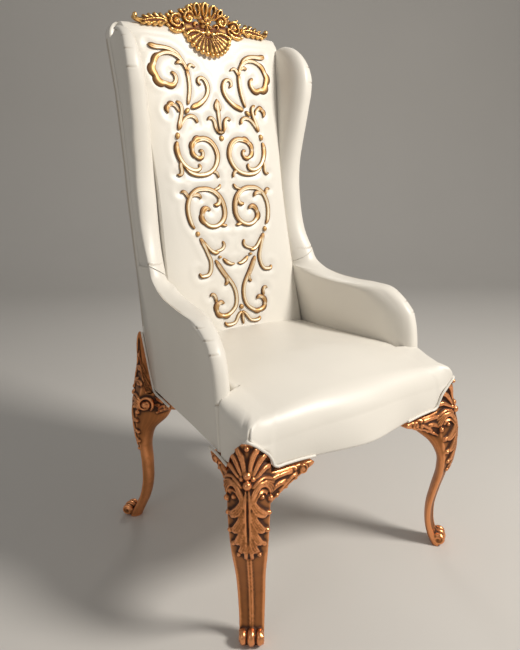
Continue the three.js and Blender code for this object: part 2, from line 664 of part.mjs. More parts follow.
// A ridge on a flat front face, sunk a little into it
function ridge(spots, rise, density = 1) {
  const route = new THREE.CatmullRomCurve3(spots.map(([x, z, half]) => point(x, z, half)), false, 'centripetal');
  const steps = Math.max(2, Math.round((spots.length - 1) * density));
  const rings = [];
  for (let i = 0; i <= steps; i += 1) {
    const spot = route.getPoint(i / steps);
    const ahead = route.getTangent(i / steps);
    const length = Math.hypot(ahead.x, ahead.y);
    const across = { x: -ahead.y / length * spot.z, z: ahead.x / length * spot.z };
    rings.push([
      flatSpot(spot.x - across.x, spot.y - across.z, -3),
      flatSpot(spot.x, spot.y, rise),
      flatSpot(spot.x + across.x, spot.y + across.z, -3),
    ]);
  }
  return loft(rings);
}

// A snail volute: a ridge that winds in to an eye, over one and a half turns
function volute(x, z, radius, hand, turns = 1.4) {
  const spots = [];
  for (let i = 0; i <= 7; i += 1) {
    const part = i / 7;
    const angle = hand * (part * turns * Math.PI * 2 - 0.6);
    const reach = radius * (1 - 0.78 * part);
    spots.push([x + reach * Math.cos(angle), z + reach * Math.sin(angle), mix(radius * 0.2, radius * 0.14, part)]);
  }
  const eye = new THREE.SphereGeometry(radius * 0.3, 6, 4).translate(x, -2, z);
  return [ridge(spots, 7, 1), closed(eye)];
}

function petals(x, z, count, radius, width) {
  const spokes = [];
  for (let i = 0; i < count; i += 1) {
    const angle = (i + 0.5) / count * Math.PI * 2;
    const at = (reach) => [x + reach * Math.cos(angle), z + reach * Math.sin(angle)];
    spokes.push(ridge([[...at(radius * 0.25), width * 0.5], [...at(radius * 0.7), width], [...at(radius), 1]], 9, 1));
  }
  return spokes;
}

function crestUpper() {
  const plate = new THREE.ExtrudeGeometry(crestOutline(), { depth: crestDepth, bevelEnabled: false, curveSegments: 4 });
  plate.rotateX(Math.PI / 2).translate(0, crestDepth, 0);
  const parts = [closed(plate), ...petals(0, 1266, 6, 19, 6)];
  for (const side of [-1, 1]) {
    parts.push(...volute(side * 82, 1265, 20, side), ...volute(side * 47, 1276, 17, side));
    const leafRidges = [
      [[110, 1262, 4], [140, 1266, 5], [165, 1260, 4], [186, 1264, 3]],
      [[108, 1252, 4], [135, 1253, 5], [166, 1254, 3]],
      [[108, 1272, 4], [122, 1275, 4], [136, 1278, 2]],
      [[14, 1286, 2.5], [18, 1296, 3.5], [13, 1311, 3]],
      [[28, 1284, 2.5], [38, 1292, 3.5], [34, 1304, 3]],
      [[52, 1290, 3], [62, 1291, 3.5], [70, 1290, 2]],
    ];
    leafRidges.forEach((spots) => parts.push(ridge(spots.map(([x, z, half]) => [side * x, z, half]), 6)));
  }
  return joined(parts).translate(0, crestFront, 0);
}

function crestDrop() {
  const half = [[14, 1192], [28, 1200], [40, 1212], [56, 1220], [68, 1232], [78, 1246]];
  const shape = new THREE.Shape();
  shape.moveTo(0, 1188);
  half.forEach(([x, z]) => shape.lineTo(x, z));
  half.reverse().forEach(([x, z]) => shape.lineTo(-x, z));
  const plate = new THREE.ExtrudeGeometry(shape, { depth: 8, bevelEnabled: false });
  plate.rotateX(Math.PI / 2).translate(0, 8, 0);
  const parts = [closed(plate)];
  for (let i = -3; i <= 3; i += 1) {
    const angle = i * 0.33;
    const at = (reach) => [reach * Math.sin(angle), 1248 - reach * Math.cos(angle)];
    const reach = 57 - 3.5 * i * i * 0.5;
    parts.push(ridge([[...at(14), 2.5], [...at(reach * 0.7), 5.5], [...at(reach), 3]], 6, 1));
  }
  for (const side of [-1, 1]) {
    parts.push(...volute(side * 54, 1234, 13, -side, 1.1));
  }
  const leaning = joined(parts).translate(0, -8, -dropFoot.z);
  leaning.rotateX(-THREE.MathUtils.degToRad(dropFoot.lean));
  return leaning.translate(0, dropFoot.y, dropFoot.z);
}

function makeCrest(back) {
  return cutBy(joined([crestUpper(), crestDrop()]), grown(back, [0, -1, 1], [0, -1, 0]));
}

// The scene graph
const throne = new THREE.Group();

function add(name, geometry, finish) {
  const mesh = new THREE.Mesh(geometry, new THREE.MeshStandardMaterial(finish));
  mesh.name = name;
  throne.add(mesh);
}

function addPair(name, geometry, finish) {
  add(`${name}_left`, geometry, finish);
  add(`${name}_right`, mirrored(geometry), finish);
}

const back = makeBack();
const wing = makeWing(back);
const arm = makeArm(back, wing);
const seat = makeSeat(back, arm);
add('back', back, leather);
addPair('wing', wing, leather);
addPair('arm', arm, leather);
add('seat', seat, leather);

addPair('leg_front', makeFrontLeg(), copperGold);
addPair('leg_rear', makeRearLeg(), copperGold);
add('crest', makeCrest(back), yellowGold);

for (const [name, strokes] of Object.entries(scrolls)) {
  for (const [side, hand] of [[1, 'left'], [-1, 'right']]) {
    add(`${name}_${hand}`, joined(strokes.map((spots) => stroke(side, spots))), scrollGold);
  }
}
for (const [name, [u, z, halfWidth, halfLength, tilt]] of Object.entries(beads)) {
  add(`${name}_left`, drop(1, u, z, halfWidth, halfLength, tilt), scrollGold);
  add(`${name}_right`, drop(-1, u, z, halfWidth, halfLength, tilt), scrollGold);
}
add('fleur', makeFleur(), scrollGold);
add('fleur_bead', drop(1, 0, 993, 7, 7), scrollGold);
add('palmette', makePalmette(), scrollGold);
add('palmette_bead', drop(1, 0, 571, 6.5, 6.5), scrollGold);

export default throne;
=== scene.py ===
"""A high-back wing throne in white leather with gilt carving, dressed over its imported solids."""

import math

import bpy
import numpy as np
from mathutils import Matrix, Vector


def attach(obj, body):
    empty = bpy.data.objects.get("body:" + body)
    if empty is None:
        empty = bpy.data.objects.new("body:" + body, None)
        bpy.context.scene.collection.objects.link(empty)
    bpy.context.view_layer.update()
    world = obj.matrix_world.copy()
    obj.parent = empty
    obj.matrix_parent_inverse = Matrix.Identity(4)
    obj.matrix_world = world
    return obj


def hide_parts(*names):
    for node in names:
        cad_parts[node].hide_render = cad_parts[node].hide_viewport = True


bl_info = {
    "name": "Carved wing throne",
    "version": (1, 0, 0),
    "blender": (4, 5, 0),
    "location": "3D View > Sidebar > Throne",
    "description": "White leather throne with gilt carving over its packed solids",
    "category": "Add Mesh",
}

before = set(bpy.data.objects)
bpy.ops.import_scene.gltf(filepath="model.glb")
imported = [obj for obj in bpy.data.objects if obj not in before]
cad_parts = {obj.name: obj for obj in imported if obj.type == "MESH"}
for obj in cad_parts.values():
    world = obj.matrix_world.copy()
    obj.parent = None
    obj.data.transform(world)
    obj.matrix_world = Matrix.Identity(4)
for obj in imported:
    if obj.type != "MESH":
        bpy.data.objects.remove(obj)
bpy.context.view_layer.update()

# Shapes are worked out in millimetres, in the same frame as the solids, and become metres in build()
MM = 0.001
BACK_TOP = 1253
SEAT_EDGE = 466
SEAT_FRONT = -311
SEAT_UNDERSIDE = 388
SEAT_ROLL = 42
INNER_ROLL = 9
SEAT_MIDDLE = (0.0, -90.0)
ARM_INNER = 240
PANEL_CROWN = 13
WELT = 3.0
SNAP = 14
SLICE = 4000


# Curves and skins

def mix(low, high, part):
    return low + (high - low) * part


def clamp(value, low=0.0, high=1.0):
    return np.minimum(np.maximum(value, low), high)


def smooth_step(value, low, high):
    part = clamp((value - low) / (high - low))
    return part * part * (3 - 2 * part)


def curve_through(points, count, sized_by=2):
    """Evenly spaced rows on a smooth curve through rows whose first columns are a place"""
    points = np.array(points, float)
    steps = np.linalg.norm(np.diff(points[:, :sized_by], axis=0), axis=1)
    knots = np.concatenate([[0], np.cumsum(np.maximum(steps, 1e-6))])
    slopes = np.gradient(points, knots, axis=0)
    at = np.linspace(0, knots[-1], count)
    low = np.clip(np.searchsorted(knots, at, "right") - 1, 0, len(knots) - 2)
    span = (knots[low + 1] - knots[low])[:, None]
    part = (at[:, None] - knots[low][:, None]) / span
    square, cube = part**2, part**3
    return (
        (2 * cube - 3 * square + 1) * points[low]
        + (cube - 2 * square + part) * span * slopes[low]
        + (3 * square - 2 * cube) * points[low + 1]
        + (cube - square) * span * slopes[low + 1]
    )


def length_of(points, sized_by=2):
    points = np.array(points, float)[:, :sized_by]
    return float(np.linalg.norm(np.diff(points, axis=0), axis=1).sum())


def skin(rings):
    """A closed skin through rings of points, with a fan over each end"""
    rings = np.array(rings, float)
    rows, around = rings.shape[:2]
    spots = np.concatenate([rings.reshape(-1, 3), rings[0].mean(0)[None], rings[-1].mean(0)[None]])
    faces = []
    for row in range(rows - 1):
        for column in range(around):
            following = (column + 1) % around
            near, far = row * around, (row + 1) * around
            faces.append((near + column, near + following, far + following, far + column))
    for column in range(around):
        following = (column + 1) % around
        faces.append((following, column, rows * around))
        last = (rows - 1) * around
        faces.append((last + column, last + following, rows * around + 1))
    return outward(spots, faces)


def outward(spots, faces):
    """Turns the faces over if they enclose a negative volume"""
    volume = 0.0
    for face in faces:
        a, b, c = spots[face[0]], spots[face[1]], spots[face[2]]
        volume += a @ np.cross(b, c)
        if len(face) == 4:
            volume += a @ np.cross(c, spots[face[3]])
    if volume < 0:
        faces = [face[::-1] for face in faces]
    return spots, faces


def gathered(parts):
    """Several skins as the spots and faces of one mesh"""
    spots, faces, count = [], [], 0
    for part_spots, part_faces in parts:
        spots.append(part_spots)
        faces += [tuple(corner + count for corner in face) for face in part_faces]
        count += len(part_spots)
    return np.concatenate(spots), faces


def mirrored(part):
    spots, faces = part
    return spots * np.array([-1, 1, 1]), [face[::-1] for face in faces]


def build(name, part, material):
    spots, faces = part
    mesh = bpy.data.meshes.new(name)
    mesh.from_pydata((spots * MM).tolist(), [], faces)
    mesh.shade_smooth()
    piece = bpy.data.objects.new(name, mesh)
    bpy.context.scene.collection.objects.link(piece)
    piece.data.materials.append(material)
    return piece


def spots_of(mesh):
    flat = np.zeros(len(mesh.vertices) * 3)
    mesh.vertices.foreach_get("co", flat)
    return flat.reshape(-1, 3)


def normals_of(mesh):
    flat = np.zeros(len(mesh.vertices) * 3)
    mesh.vertex_normals.foreach_get("vector", flat)
    return flat.reshape(-1, 3)


def set_spots(mesh, spots):
    mesh.vertices.foreach_set("co", spots.ravel())
    mesh.update()


def mark(mesh, name, values):
    field = mesh.attributes.get(name) or mesh.attributes.new(name, "FLOAT", "POINT")
    field.data.foreach_set("value", np.asarray(values, np.float32))


def distances(spots, line):
    """How far each spot is from a line of points, and which point is nearest, worked out in slices"""
    line = np.array(line, float)
    found = np.empty(len(spots))
    nearest = np.empty(len(spots), int)
    for start in range(0, len(spots), SLICE):
        some = slice(start, start + SLICE)
        squares = ((spots[some, None] - line[None]) ** 2).sum(2)
        found[some] = np.sqrt(squares.min(1))
        nearest[some] = squares.argmin(1)
    return found, nearest


def press(piece, lines):
    """Presses seams and tucks into a padded piece

    Each is a line in millimetres, a depth, a width and the share by which it fades along the line."""
    spots = spots_of(piece.data) / MM
    normals = normals_of(piece.data)
    crease = np.zeros(len(spots))
    for line, depth, width, fading in lines:
        dense = curve_through(line, max(8, int(length_of(line, 3) / 1.5)), 3)
        low, high = dense.min(0) - SNAP, dense.max(0) + SNAP
        close = spots[((spots > low) & (spots < high)).all(1)]
        if len(close):
            dense = np.array([close[((close - spot) ** 2).sum(1).argmin()] for spot in dense])
        low, high = dense.min(0) - 5 * width, dense.max(0) + 5 * width
        near = np.where(((spots > low) & (spots < high)).all(1))[0]
        if len(near) == 0:
            continue
        away, nearest = distances(spots[near], dense)
        strength = 1 - fading * (nearest / len(dense)) ** 1.5
        fold = strength * np.exp(-(away / (width * (0.5 + 0.5 * strength))) ** 2)
        swell = strength * np.exp(-(((away - 2.6 * width) / (1.3 * width)) ** 2))
        spots[near] -= normals[near] * (depth * (fold - 0.25 * swell))[:, None]
        # The crease field keeps each fold's strength; the leather's colour is darkened there with painted
        # shade and a little soil
        crease[near] = np.maximum(crease[near], fold)
    set_spots(piece.data, spots * MM)
    mark(piece.data, "crease", crease)


def ripple(spots, size):
    """The slight unevenness of stretched leather, as a height for each spot"""
    x, y, z = (spots[:, axis] for axis in range(3))
    slow = np.sin(x / 41 + 1.3 * np.sin(z / 57)) * np.sin(y / 37 + 0.7) + np.sin(z / 49 + x / 83)
    quick = np.sin(x / 17 + y / 23) * np.sin(z / 19 - y / 31)
    return size * (0.7 * slow + 0.3 * quick)


def unevenness(piece, size):
    spots = spots_of(piece.data)
    set_spots(piece.data, spots + normals_of(piece.data) * (ripple(spots / MM, size) * MM)[:, None])


def dress(piece, slot, *nodes):
    """The piece rides with the throne and stands for the nodes; the slot is not used"""
    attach(piece, "root")
    if nodes:
        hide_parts(*nodes)
    return piece


# Shader maths

class Value:
    """A socket on which +, - and * add Math nodes"""

    def __init__(self, finish, socket):
        self.finish = finish
        self.socket = socket

    def combine(self, operation, first, second):
        return self.finish.node("ShaderNodeMath", {"operation": operation}, {0: first, 1: second})

    def __add__(self, other):
        return self.combine("ADD", self, other)

    def __sub__(self, other):
        return self.combine("SUBTRACT", self, other)

    def __mul__(self, other):
        return self.combine("MULTIPLY", self, other)

    __radd__ = __add__
    __rmul__ = __mul__

    def __rsub__(self, other):
        return self.combine("SUBTRACT", other, self)

    def clamped(self):
        return self.finish.node("ShaderNodeClamp", {}, {"Value": self})


class Finish:
    """One material and the nodes that make it"""

    def __init__(self, name):
        self.material = bpy.data.materials.new(name)
        self.material.use_nodes = True
        self.tree = self.material.node_tree
        self.surface = self.tree.nodes["Principled BSDF"]

    def feed(self, socket, value):
        if isinstance(value, Value):
            self.tree.links.new(value.socket, socket)
        else:
            socket.default_value = value

    def node(self, kind, settings, inputs, output=0):
        node = self.tree.nodes.new(kind)
        for name, value in settings.items():
            if name == "stops":
                set_stops(node.color_ramp, value)
            else:
                setattr(node, name, value)
        for name, value in inputs.items():
            self.feed(node.inputs[name], value)
        return Value(self, node.outputs[output])

    def set(self, **sockets):
        for name, value in sockets.items():
            self.feed(self.surface.inputs[name.replace("_", " ")], value)

    def field(self, name):
        """A value kept on the mesh's points"""
        return self.node("ShaderNodeAttribute", {"attribute_name": name}, {}, "Fac")

    def place(self):
        return self.node("ShaderNodeTexCoord", {}, {}, "Object")

    def noise(self, scale, detail=2.0, roughness=0.5):
        inputs = {"Vector": self.place(), "Scale": scale, "Detail": detail, "Roughness": roughness}
        return self.node("ShaderNodeTexNoise", {}, inputs, "Fac")

    def ramp(self, value, stops):
        return self.node("ShaderNodeValToRGB", {"stops": stops}, {"Fac": value}, "Color")

    def blend(self, first, second, part):
        inputs = {"Factor": part, 6: first, 7: second}
        return self.node("ShaderNodeMix", {"data_type": "RGBA"}, inputs, 2)

    def bump(self, height, strength, distance):
        inputs = {"Height": height, "Strength": strength, "Distance": distance}
        self.feed(self.surface.inputs["Normal"], self.node("ShaderNodeBump", {}, inputs))


def set_stops(ramp, stops):
    while len(ramp.elements) < len(stops):
        ramp.elements.new(0.5)
    for element, (position, colour) in zip(ramp.elements, stops):
        element.position = position
        element.color = (*colour, 1)


def dimmed(colour, share):
    return tuple(channel * share for channel in colour[:3])


def leather_finish(upholstery):
    finish = Finish("white_leather")
    crease = finish.field("crease")
    soft = finish.noise(7.0, 3.0)
    clean = tuple(upholstery.colour)
    worn = dimmed(clean, 0.93)
    tone = finish.blend((*clean, 1), (*worn, 1), soft)
    # Painted shade, with a little soil, darkens the leather along the pressed seams, darts and tucks where
    # the crease field is high
    painted_crease_shade = (clean[0] * 0.55, clean[1] * 0.47, clean[2] * 0.38, 1)
    finish.set(Base_Color=finish.blend(tone, painted_crease_shade, (crease * 0.75).clamped()))
    finish.set(Roughness=upholstery.roughness + 0.1 * soft + 0.15 * crease)
    finish.surface.inputs["Specular IOR Level"].default_value = 0.45
    pores = finish.node(
        "ShaderNodeTexVoronoi", {"feature": "DISTANCE_TO_EDGE"}, {"Vector": finish.place(), "Scale": 620.0}
    )
    finish.bump(pores + 1.6 * finish.noise(260.0, 3.0), upholstery.grain, 0.0004)
    return finish.material


def gilt_finish(name, gold, recess, shine):
    """Gold leaf with a painted highlight on the ridges and painted shade, with some patina, in the hollows"""
    finish = Finish(name)
    relief = finish.field("relief")
    rub = finish.noise(60.0, 4.0, 0.6)
    ridge_highlight = tuple(min(1.0, channel * 1.6 + 0.04) for channel in gold)
    # The stops paint shade, with some patina, into the low relief and a highlight onto the high relief
    stops = [
        (0.14, tuple(recess)),
        (0.32, dimmed(gold, 0.32)),
        (0.48, dimmed(gold, 0.7)),
        (0.64, tuple(gold)),
        (0.86, ridge_highlight),
    ]
    height = (relief + 0.14 * (rub - 0.5)).clamped()
    finish.set(Base_Color=finish.ramp(height, stops))
    finish.set(Metallic=(0.35 + 1.2 * height).clamped() * 0.95)
    finish.set(Roughness=(shine + 0.3 * (1 - height) + 0.1 * rub).clamped())
    finish.bump(finish.noise(420.0, 3.0), 0.12, 0.0004)
    return finish.material


def scroll_finish(scrollwork):
    """Gilt along one side and at the ends, cream along the middle, with a thin inner line"""
    finish = Finish("scroll_gilt")
    across = finish.field("across")
    gilded = finish.field("gilded")
    gold = tuple(scrollwork.gold)
    edge = tuple(scrollwork.edge)
    cream = tuple(scrollwork.cream)
    banded = [
        (0.0, edge), (0.07, dimmed(edge, 1.4)), (0.2, gold), (0.36, dimmed(gold, 1.25)),
        (0.46, cream), (0.78, cream), (0.88, gold), (0.97, dimmed(gold, 0.8)),
    ]
    full = [
        (0.0, edge), (0.1, dimmed(edge, 1.6)), (0.32, gold), (0.56, dimmed(gold, 1.4)),
        (0.8, gold), (0.95, dimmed(edge, 2.0)),
    ]
    rub = finish.noise(85.0, 3.0)
    shifted = across + 0.12 * (rub - 0.5)
    colour = finish.blend(finish.ramp(shifted, banded), finish.ramp(shifted, full), gilded)
    finish.set(Base_Color=colour)
    finish.set(Metallic=(0.28 + 0.3 * gilded - 0.16 * rub).clamped())
    finish.set(Roughness=0.36 + 0.16 * rub)
    finish.bump(finish.noise(300.0, 2.0), 0.15, 0.0004)
    return finish.material


def material(name, make, *settings):
    return bpy.data.materials.get(name) or make(*settings)


def leather():
    return material("white_leather", leather_finish, bpy.context.scene.throne_upholstery)


# The padded pieces: sizes at a height, as in the solids, then the rolled edges of the wings and arms

def round_off(z, start, top, size):
    part = clamp((z - start) / (top - start))
    return size * (1 - np.sqrt(1 - part * part))


def seam_half(z):
    upper = 29 * (np.maximum(0, z - 870) / 348) ** 1.6
    lower = 17 * (np.maximum(0, 870 - z) / 372) ** 1.5
    return 185.5 + upper + lower


def panel_middle(z):
    eased = 3 * (np.maximum(0, z - 1120) / 70) ** 1.4
    return 131 + 0.1734 * (z - 495) + eased + round_off(z, 1233, BACK_TOP, 14)


def rear_face(z):
    return 241 + 0.122 * (z - 535) - round_off(z, 1229, BACK_TOP, 20)


def flange_half(z):
    return 236 + 7 * clamp((z - 1100) / 110) - round_off(z, 1219, BACK_TOP, 24)


def flange_face(z):
    return rear_face(z) - np.minimum(25, 0.4 * (rear_face(z) - panel_middle(z)))


def panel_front(x, z):
    crown = np.minimum(PANEL_CROWN, 0.4 * (rear_face(z) - panel_middle(z)))
    return panel_middle(z) + crown * clamp(np.abs(x) / seam_half(z)) ** 6


WING_EDGE = [
    (700, 155, 249, 696), (749, 183, 246, 745), (796, 198, 245, 792), (844, 205, 244, 840),
    (891, 208, 244, 888), (939, 205, 245, 936), (984, 198, 249, 982), (1029, 189, 252, 1030),
    (1072, 182, 256, 1078), (1114, 176, 260, 1120), (1150, 178, 261, 1154), (1182, 191, 258, 1178),
    (1208, 212, 253, 1196), (1223, 236, 250, 1206), (1230, 262, 247, 1214),
]
ARM_EDGE = [
    (700, 155, 249, 696), (677, 143, 251, 684), (655, 110, 255, 668), (641, 62, 263, 648),
    (634, -2, 272, 625), (631, -68, 283, 600), (625, -114, 286, 572), (610, -143, 286, 546),
    (593, -164, 287, 524), (573, -180, 289, 502), (550, -188, 289, 482), (520, -193, 289, 462),
    (482, -196, 289, 440), (430, -196, 288, 410), (378, -196, 286, 384),
]
WING_TUCKS = [(0.012, 0.75, 0.8), (0.765, 0.42, 1.0), (0.835, 0.42, 1.0), (0.895, 0.3, 0.5)]
ARM_TUCKS = [(0.545, 0.35, 0.8), (0.605, 0.42, 1.0), (0.66, 0.42, 1.0), (0.83, 0.7, 1.0)]
SEAM_BACK = 5.0
PANEL_SUNK = 3.4
BORDER_SEAM = (0.3, 1.5, 0.0)
TUCK_WIDTH = 1.7
TUCK_FADING = 0.9
SEWN_DEPTH, SEWN_REACH = 1.7, 9
SWELL_RISE, SWELL_PLACE = 1.3, 19


def roll_place(turn, depth):
    """A place on the roll as (part of the way in, reach back): tight outside, long and gentle inside"""
    if turn < math.pi / 2:
        return (1 - math.cos(turn)) * 0.4, -10 * math.sin(turn)
    gentle = turn - math.pi / 2
    return 0.4 + 0.6 * math.sin(gentle), -10 + (depth + 10) * (1 - math.cos(gentle))


def roll_depth(length):
    """How far back the roll's inner side reaches before it lies flat"""
    return min(0.55 * length, 62)


def rib(edge, rear, outer, inner, slope, inset):
    """One ring of a padded border; the outer panel lies a little inside the band of the roll"""
    length = math.hypot(rear[0] - edge[1], rear[1] - edge[2])
    depth = roll_depth(length)
    ahead = ((rear[0] - edge[1]) / length, (rear[1] - edge[2]) / length)
    first = SEAM_BACK + 4.5
    sections = []
    for share in (1.0, 0.9, 0.78, 0.66, 0.54, 0.42, 0.3, 0.2, 0.12, 0.06, 0.02):
        sections.append((0.0, mix(first, length, share), inset * (1 - smooth_step(share, 0.35, 0.95))))
    for step in (3.6, 2.2, 1.3, 0.7, 0.2, -0.3, -0.9, -1.8, -3.2):
        sections.append((0.0, SEAM_BACK + step, inset * smooth_step(step, -1, 1)))
    sections += [(*roll_place(turn, depth), 0.0) for turn in np.linspace(0, math.pi, 31)]
    sections += [(1.0, mix(depth, length, share), 0.0) for share in (0.25, 0.6, 1.0)]
    ring = []
    for part, reach, sunk in sections:
        y = edge[1] + ahead[0] * reach
        z = edge[2] + ahead[1] * reach
        outside = edge[0] if reach <= 0 else outer(y, z)
        x = mix(outside - sunk, inner(y, z), part)
        ring.append((x, y, z - slope * (edge[0] - x)))
    return ring


def edge_at(table, count):
    rows = curve_through([(y, z, x, rear) for z, y, x, rear in table], count)
    return [(x, y, z, rear) for y, z, x, rear in rows]


def wing_inner(y, z):
    return seam_half(z) + 0.7


def wing_part():
    rings = []
    for x, y, z, rear_z in edge_at(WING_EDGE, 230):
        rear = (flange_face(rear_z) - 0.6, rear_z)

        def outer(depth, height, x=x, y=y):
            ahead = clamp((depth - y) / (flange_face(height) - y))
            return mix(x, flange_half(min(height, 1213)) + 1, ahead)

        slope = 0.6 * clamp(1 - (z - 700) / 150)
        inset = PANEL_SUNK * smooth_step(z, 700, 712)
        rings.append(rib((x, y, z), rear, outer, wing_inner, slope, inset))
    return skin(rings)


def arm_outer(y, z):
    top = mix(244, 289, clamp((175 - y) / 295))
    bottom = mix(240, 286, clamp((192 - y) / 388))
    return mix(bottom, top, clamp((z - 378) / 230))


def arm_inner(y, z):
    return mix(seam_half(z) + 0.7, ARM_INNER, clamp((135 - y) / 325))


def arm_part():
    rings = []
    for x, y, z, rear_z in edge_at(ARM_EDGE, 290):
        rear = (flange_face(rear_z) - 0.6, rear_z)
        slope = 0.6 * clamp(1 - (700 - z) / 50)
        inset = PANEL_SUNK * smooth_step(700 - z, 0, 12)
        rings.append(rib((x, y, z - 0.7), rear, arm_outer, arm_inner, slope, inset))
    return skin(rings)


def across_roll(table, inner, at, side, stop):
    """The line of a tuck at one place along a padded edge, from the outer seam over the roll"""
    count = 400
    x, y, z, rear_z = edge_at(table, count)[int(at * (count - 1))]
    rear_y = flange_face(rear_z)
    length = math.hypot(rear_y - y, rear_z - z)
    ahead = ((rear_y - y) / length, (rear_z - z) / length)
    line = [(side * x, y + ahead[0] * SEAM_BACK, z + ahead[1] * SEAM_BACK)]
    for turn in np.linspace(0.0, math.pi * stop, 6):
        part, back = roll_place(turn, roll_depth(length))
        line.append((side * mix(x, inner(y, z), part), y + ahead[0] * back, z + ahead[1] * back))
    return line


# Upholstery

def slab_part():
    """The back, which sewn_down afterwards draws into a soft hollow along the scrollwork where it is sewn
    down
    """
    rounding = 1222
    rounded = rounding + (BACK_TOP - rounding) * np.sin(np.linspace(0.08, math.pi / 2, 14))
    heights = np.concatenate([np.linspace(386, rounding, 230), rounded])
    front = np.concatenate([
        -np.linspace(1, 0.84, 14), np.linspace(-0.83, 0.83, 84), np.linspace(0.84, 1, 14),
    ])
    rings = []
    for z in heights:
        half = min(seam_half(z), flange_half(z) - 6)
        rear, wide, flange = rear_face(z), flange_half(z), flange_face(z)
        ring = [(part * half, panel_front(part * half, z), z) for part in front]
        for part in (0, 0.4, 0.8, 1):
            ring.append((mix(half, wide, part), flange + 1.2 * (1 - abs(2 * part - 1)), z))
        for part in (0.2, 0.5, 0.8):
            ring.append((wide + 0.6 * math.sin(part * math.pi), mix(flange, rear, part), z))
        for part in np.linspace(1, -1, 33):
            bulge = 8.4 * (1 - part * part) ** 0.7
            ring.append((part * wide, rear + bulge, z))
        for part in (0.2, 0.5, 0.8):
            ring.append((-wide - 0.6 * math.sin(part * math.pi), mix(rear, flange, part), z))
        for part in (0, 0.2, 0.6, 1):
            ring.append((-mix(wide, half, part), flange + 1.2 * (1 - abs(2 * part - 1)), z))
        rings.append(ring)
    return skin(rings)


def sewn_down(piece):
    """Draws the front panel in along the scrollwork, so that it swells between the strokes"""
    spots = spots_of(piece.data) / MM
    line = np.concatenate([row[:, :2] for row, _ in every_stroke()])
    line = np.concatenate([line, line * np.array([-1, 1])])
    facing = spots[:, 1] < panel_front(spots[:, 0], spots[:, 2]) + 1.5
    on_front = np.where(facing & (spots[:, 2] < 1225))[0]
    away, _ = distances(spots[on_front][:, [0, 2]], line)
    drawn = SEWN_DEPTH * np.exp(-((away / SEWN_REACH) ** 2))
    swell = SWELL_RISE * np.exp(-(((away - SWELL_PLACE) / SEWN_REACH) ** 2))
    spots[on_front, 1] += drawn - swell
    set_spots(piece.data, spots * MM)


class ThroneUpholstery(bpy.types.PropertyGroup):
    colour: bpy.props.FloatVectorProperty(
        name="Leather colour", description="Colour of clean leather", subtype="COLOR",
        default=(0.8, 0.765, 0.695), min=0, max=1,
    )
    roughness: bpy.props.FloatProperty(
        name="Roughness", description="How dull the leather is", subtype="FACTOR",
        default=0.34, min=0, max=1,
    )
    grain: bpy.props.FloatProperty(
        name="Grain", description="Strength of the leather's pores", subtype="FACTOR",
        default=0.16, min=0, max=1,
    )
    tuck: bpy.props.FloatProperty(
        name="Tuck depth", description="Depth of the tucks in the rolls", subtype="DISTANCE", unit="LENGTH",
        default=0.0022, min=0, max=0.01,
    )
    seam: bpy.props.FloatProperty(
        name="Seam depth", description="Depth of the sewn seams", subtype="DISTANCE", unit="LENGTH",
        default=0.0016, min=0, max=0.01,
    )


def outer_seam(table, side):
    """The seam between the roll and the outer panel"""
    line = []
    for x, y, z, rear_z in edge_at(table, 60):
        rear_y = flange_face(rear_z)
        length = math.hypot(rear_y - y, rear_z - z)
        back = SEAM_BACK / length
        line.append((side * (x - PANEL_SUNK), mix(y, rear_y, back), mix(z, rear_z, back)))
    return line


class MESH_OT_throne_back(bpy.types.Operator):
    """Upholster the back: a crowned front panel, sewn down along the scrollwork, and a plain rear"""
    bl_idname = "mesh.throne_back"
    bl_label = "Back"

    def execute(self, context):
        piece = build("back_cushion", slab_part(), leather())
        sewn_down(piece)
        unevenness(piece, 0.5)
        depth = context.scene.throne_upholstery.seam / MM * 0.6
        heights = np.linspace(540, 1215, 24)
        seams = []
        for side in (-1, 1):
            rear_edge = [(side * (flange_half(z) - 1), rear_face(z) - 3, z) for z in heights]
            seams.append((rear_edge, depth, 1.8, 0.0))
        press(piece, seams)
        dress(piece, "leather", "back")
        return {"FINISHED"}


def upholster_borders(context, kind, part, table, inner, tucks):
    """Both padded borders of one kind, with the seam round the outer panel and the tucks in the roll"""
    tuck = context.scene.throne_upholstery.tuck / MM
    for hand, side, border in (("left", 1, part), ("right", -1, mirrored(part))):
        piece = build(f"{kind}_cushion_{hand}", border, leather())
        unevenness(piece, 0.6)
        lines = [(outer_seam(table, side), *BORDER_SEAM)]
        for at, stop, deep in tucks:
            line = across_roll(table, inner, at, side, stop)
            lines.append((line, tuck * deep, TUCK_WIDTH, TUCK_FADING))
        press(piece, lines)
        dress(piece, "leather", f"{kind}_{hand}")


class MESH_OT_throne_wings(bpy.types.Operator):
    """Upholster the two wings, with a rolled edge, an inset outer panel and tucks at the curves"""
    bl_idname = "mesh.throne_wings"
    bl_label = "Wings"

    def execute(self, context):
        upholster_borders(context, "wing", wing_part(), WING_EDGE, wing_inner, WING_TUCKS)
        return {"FINISHED"}


class MESH_OT_throne_arms(bpy.types.Operator):
    """Upholster the two arms, with a rolled top and front, an inset outer panel and tucks at the curve"""
    bl_idname = "mesh.throne_arms"
    bl_label = "Arms"

    def execute(self, context):
        upholster_borders(context, "arm", arm_part(), ARM_EDGE, arm_inner, ARM_TUCKS)
        return {"FINISHED"}


# The seat

def rail_bow(x):
    return 24 * math.cos(x / 160 * math.pi / 2) ** 2 if abs(x) < 160 else 0.0


def seat_top(x, y):
    back = np.sin(clamp((y - SEAT_FRONT) / 200) * math.pi / 2)
    across = 1 - clamp(np.abs(x) / 220) ** 2
    return SEAT_EDGE + 34 * back + 20 * across * (0.3 + 0.7 * back)


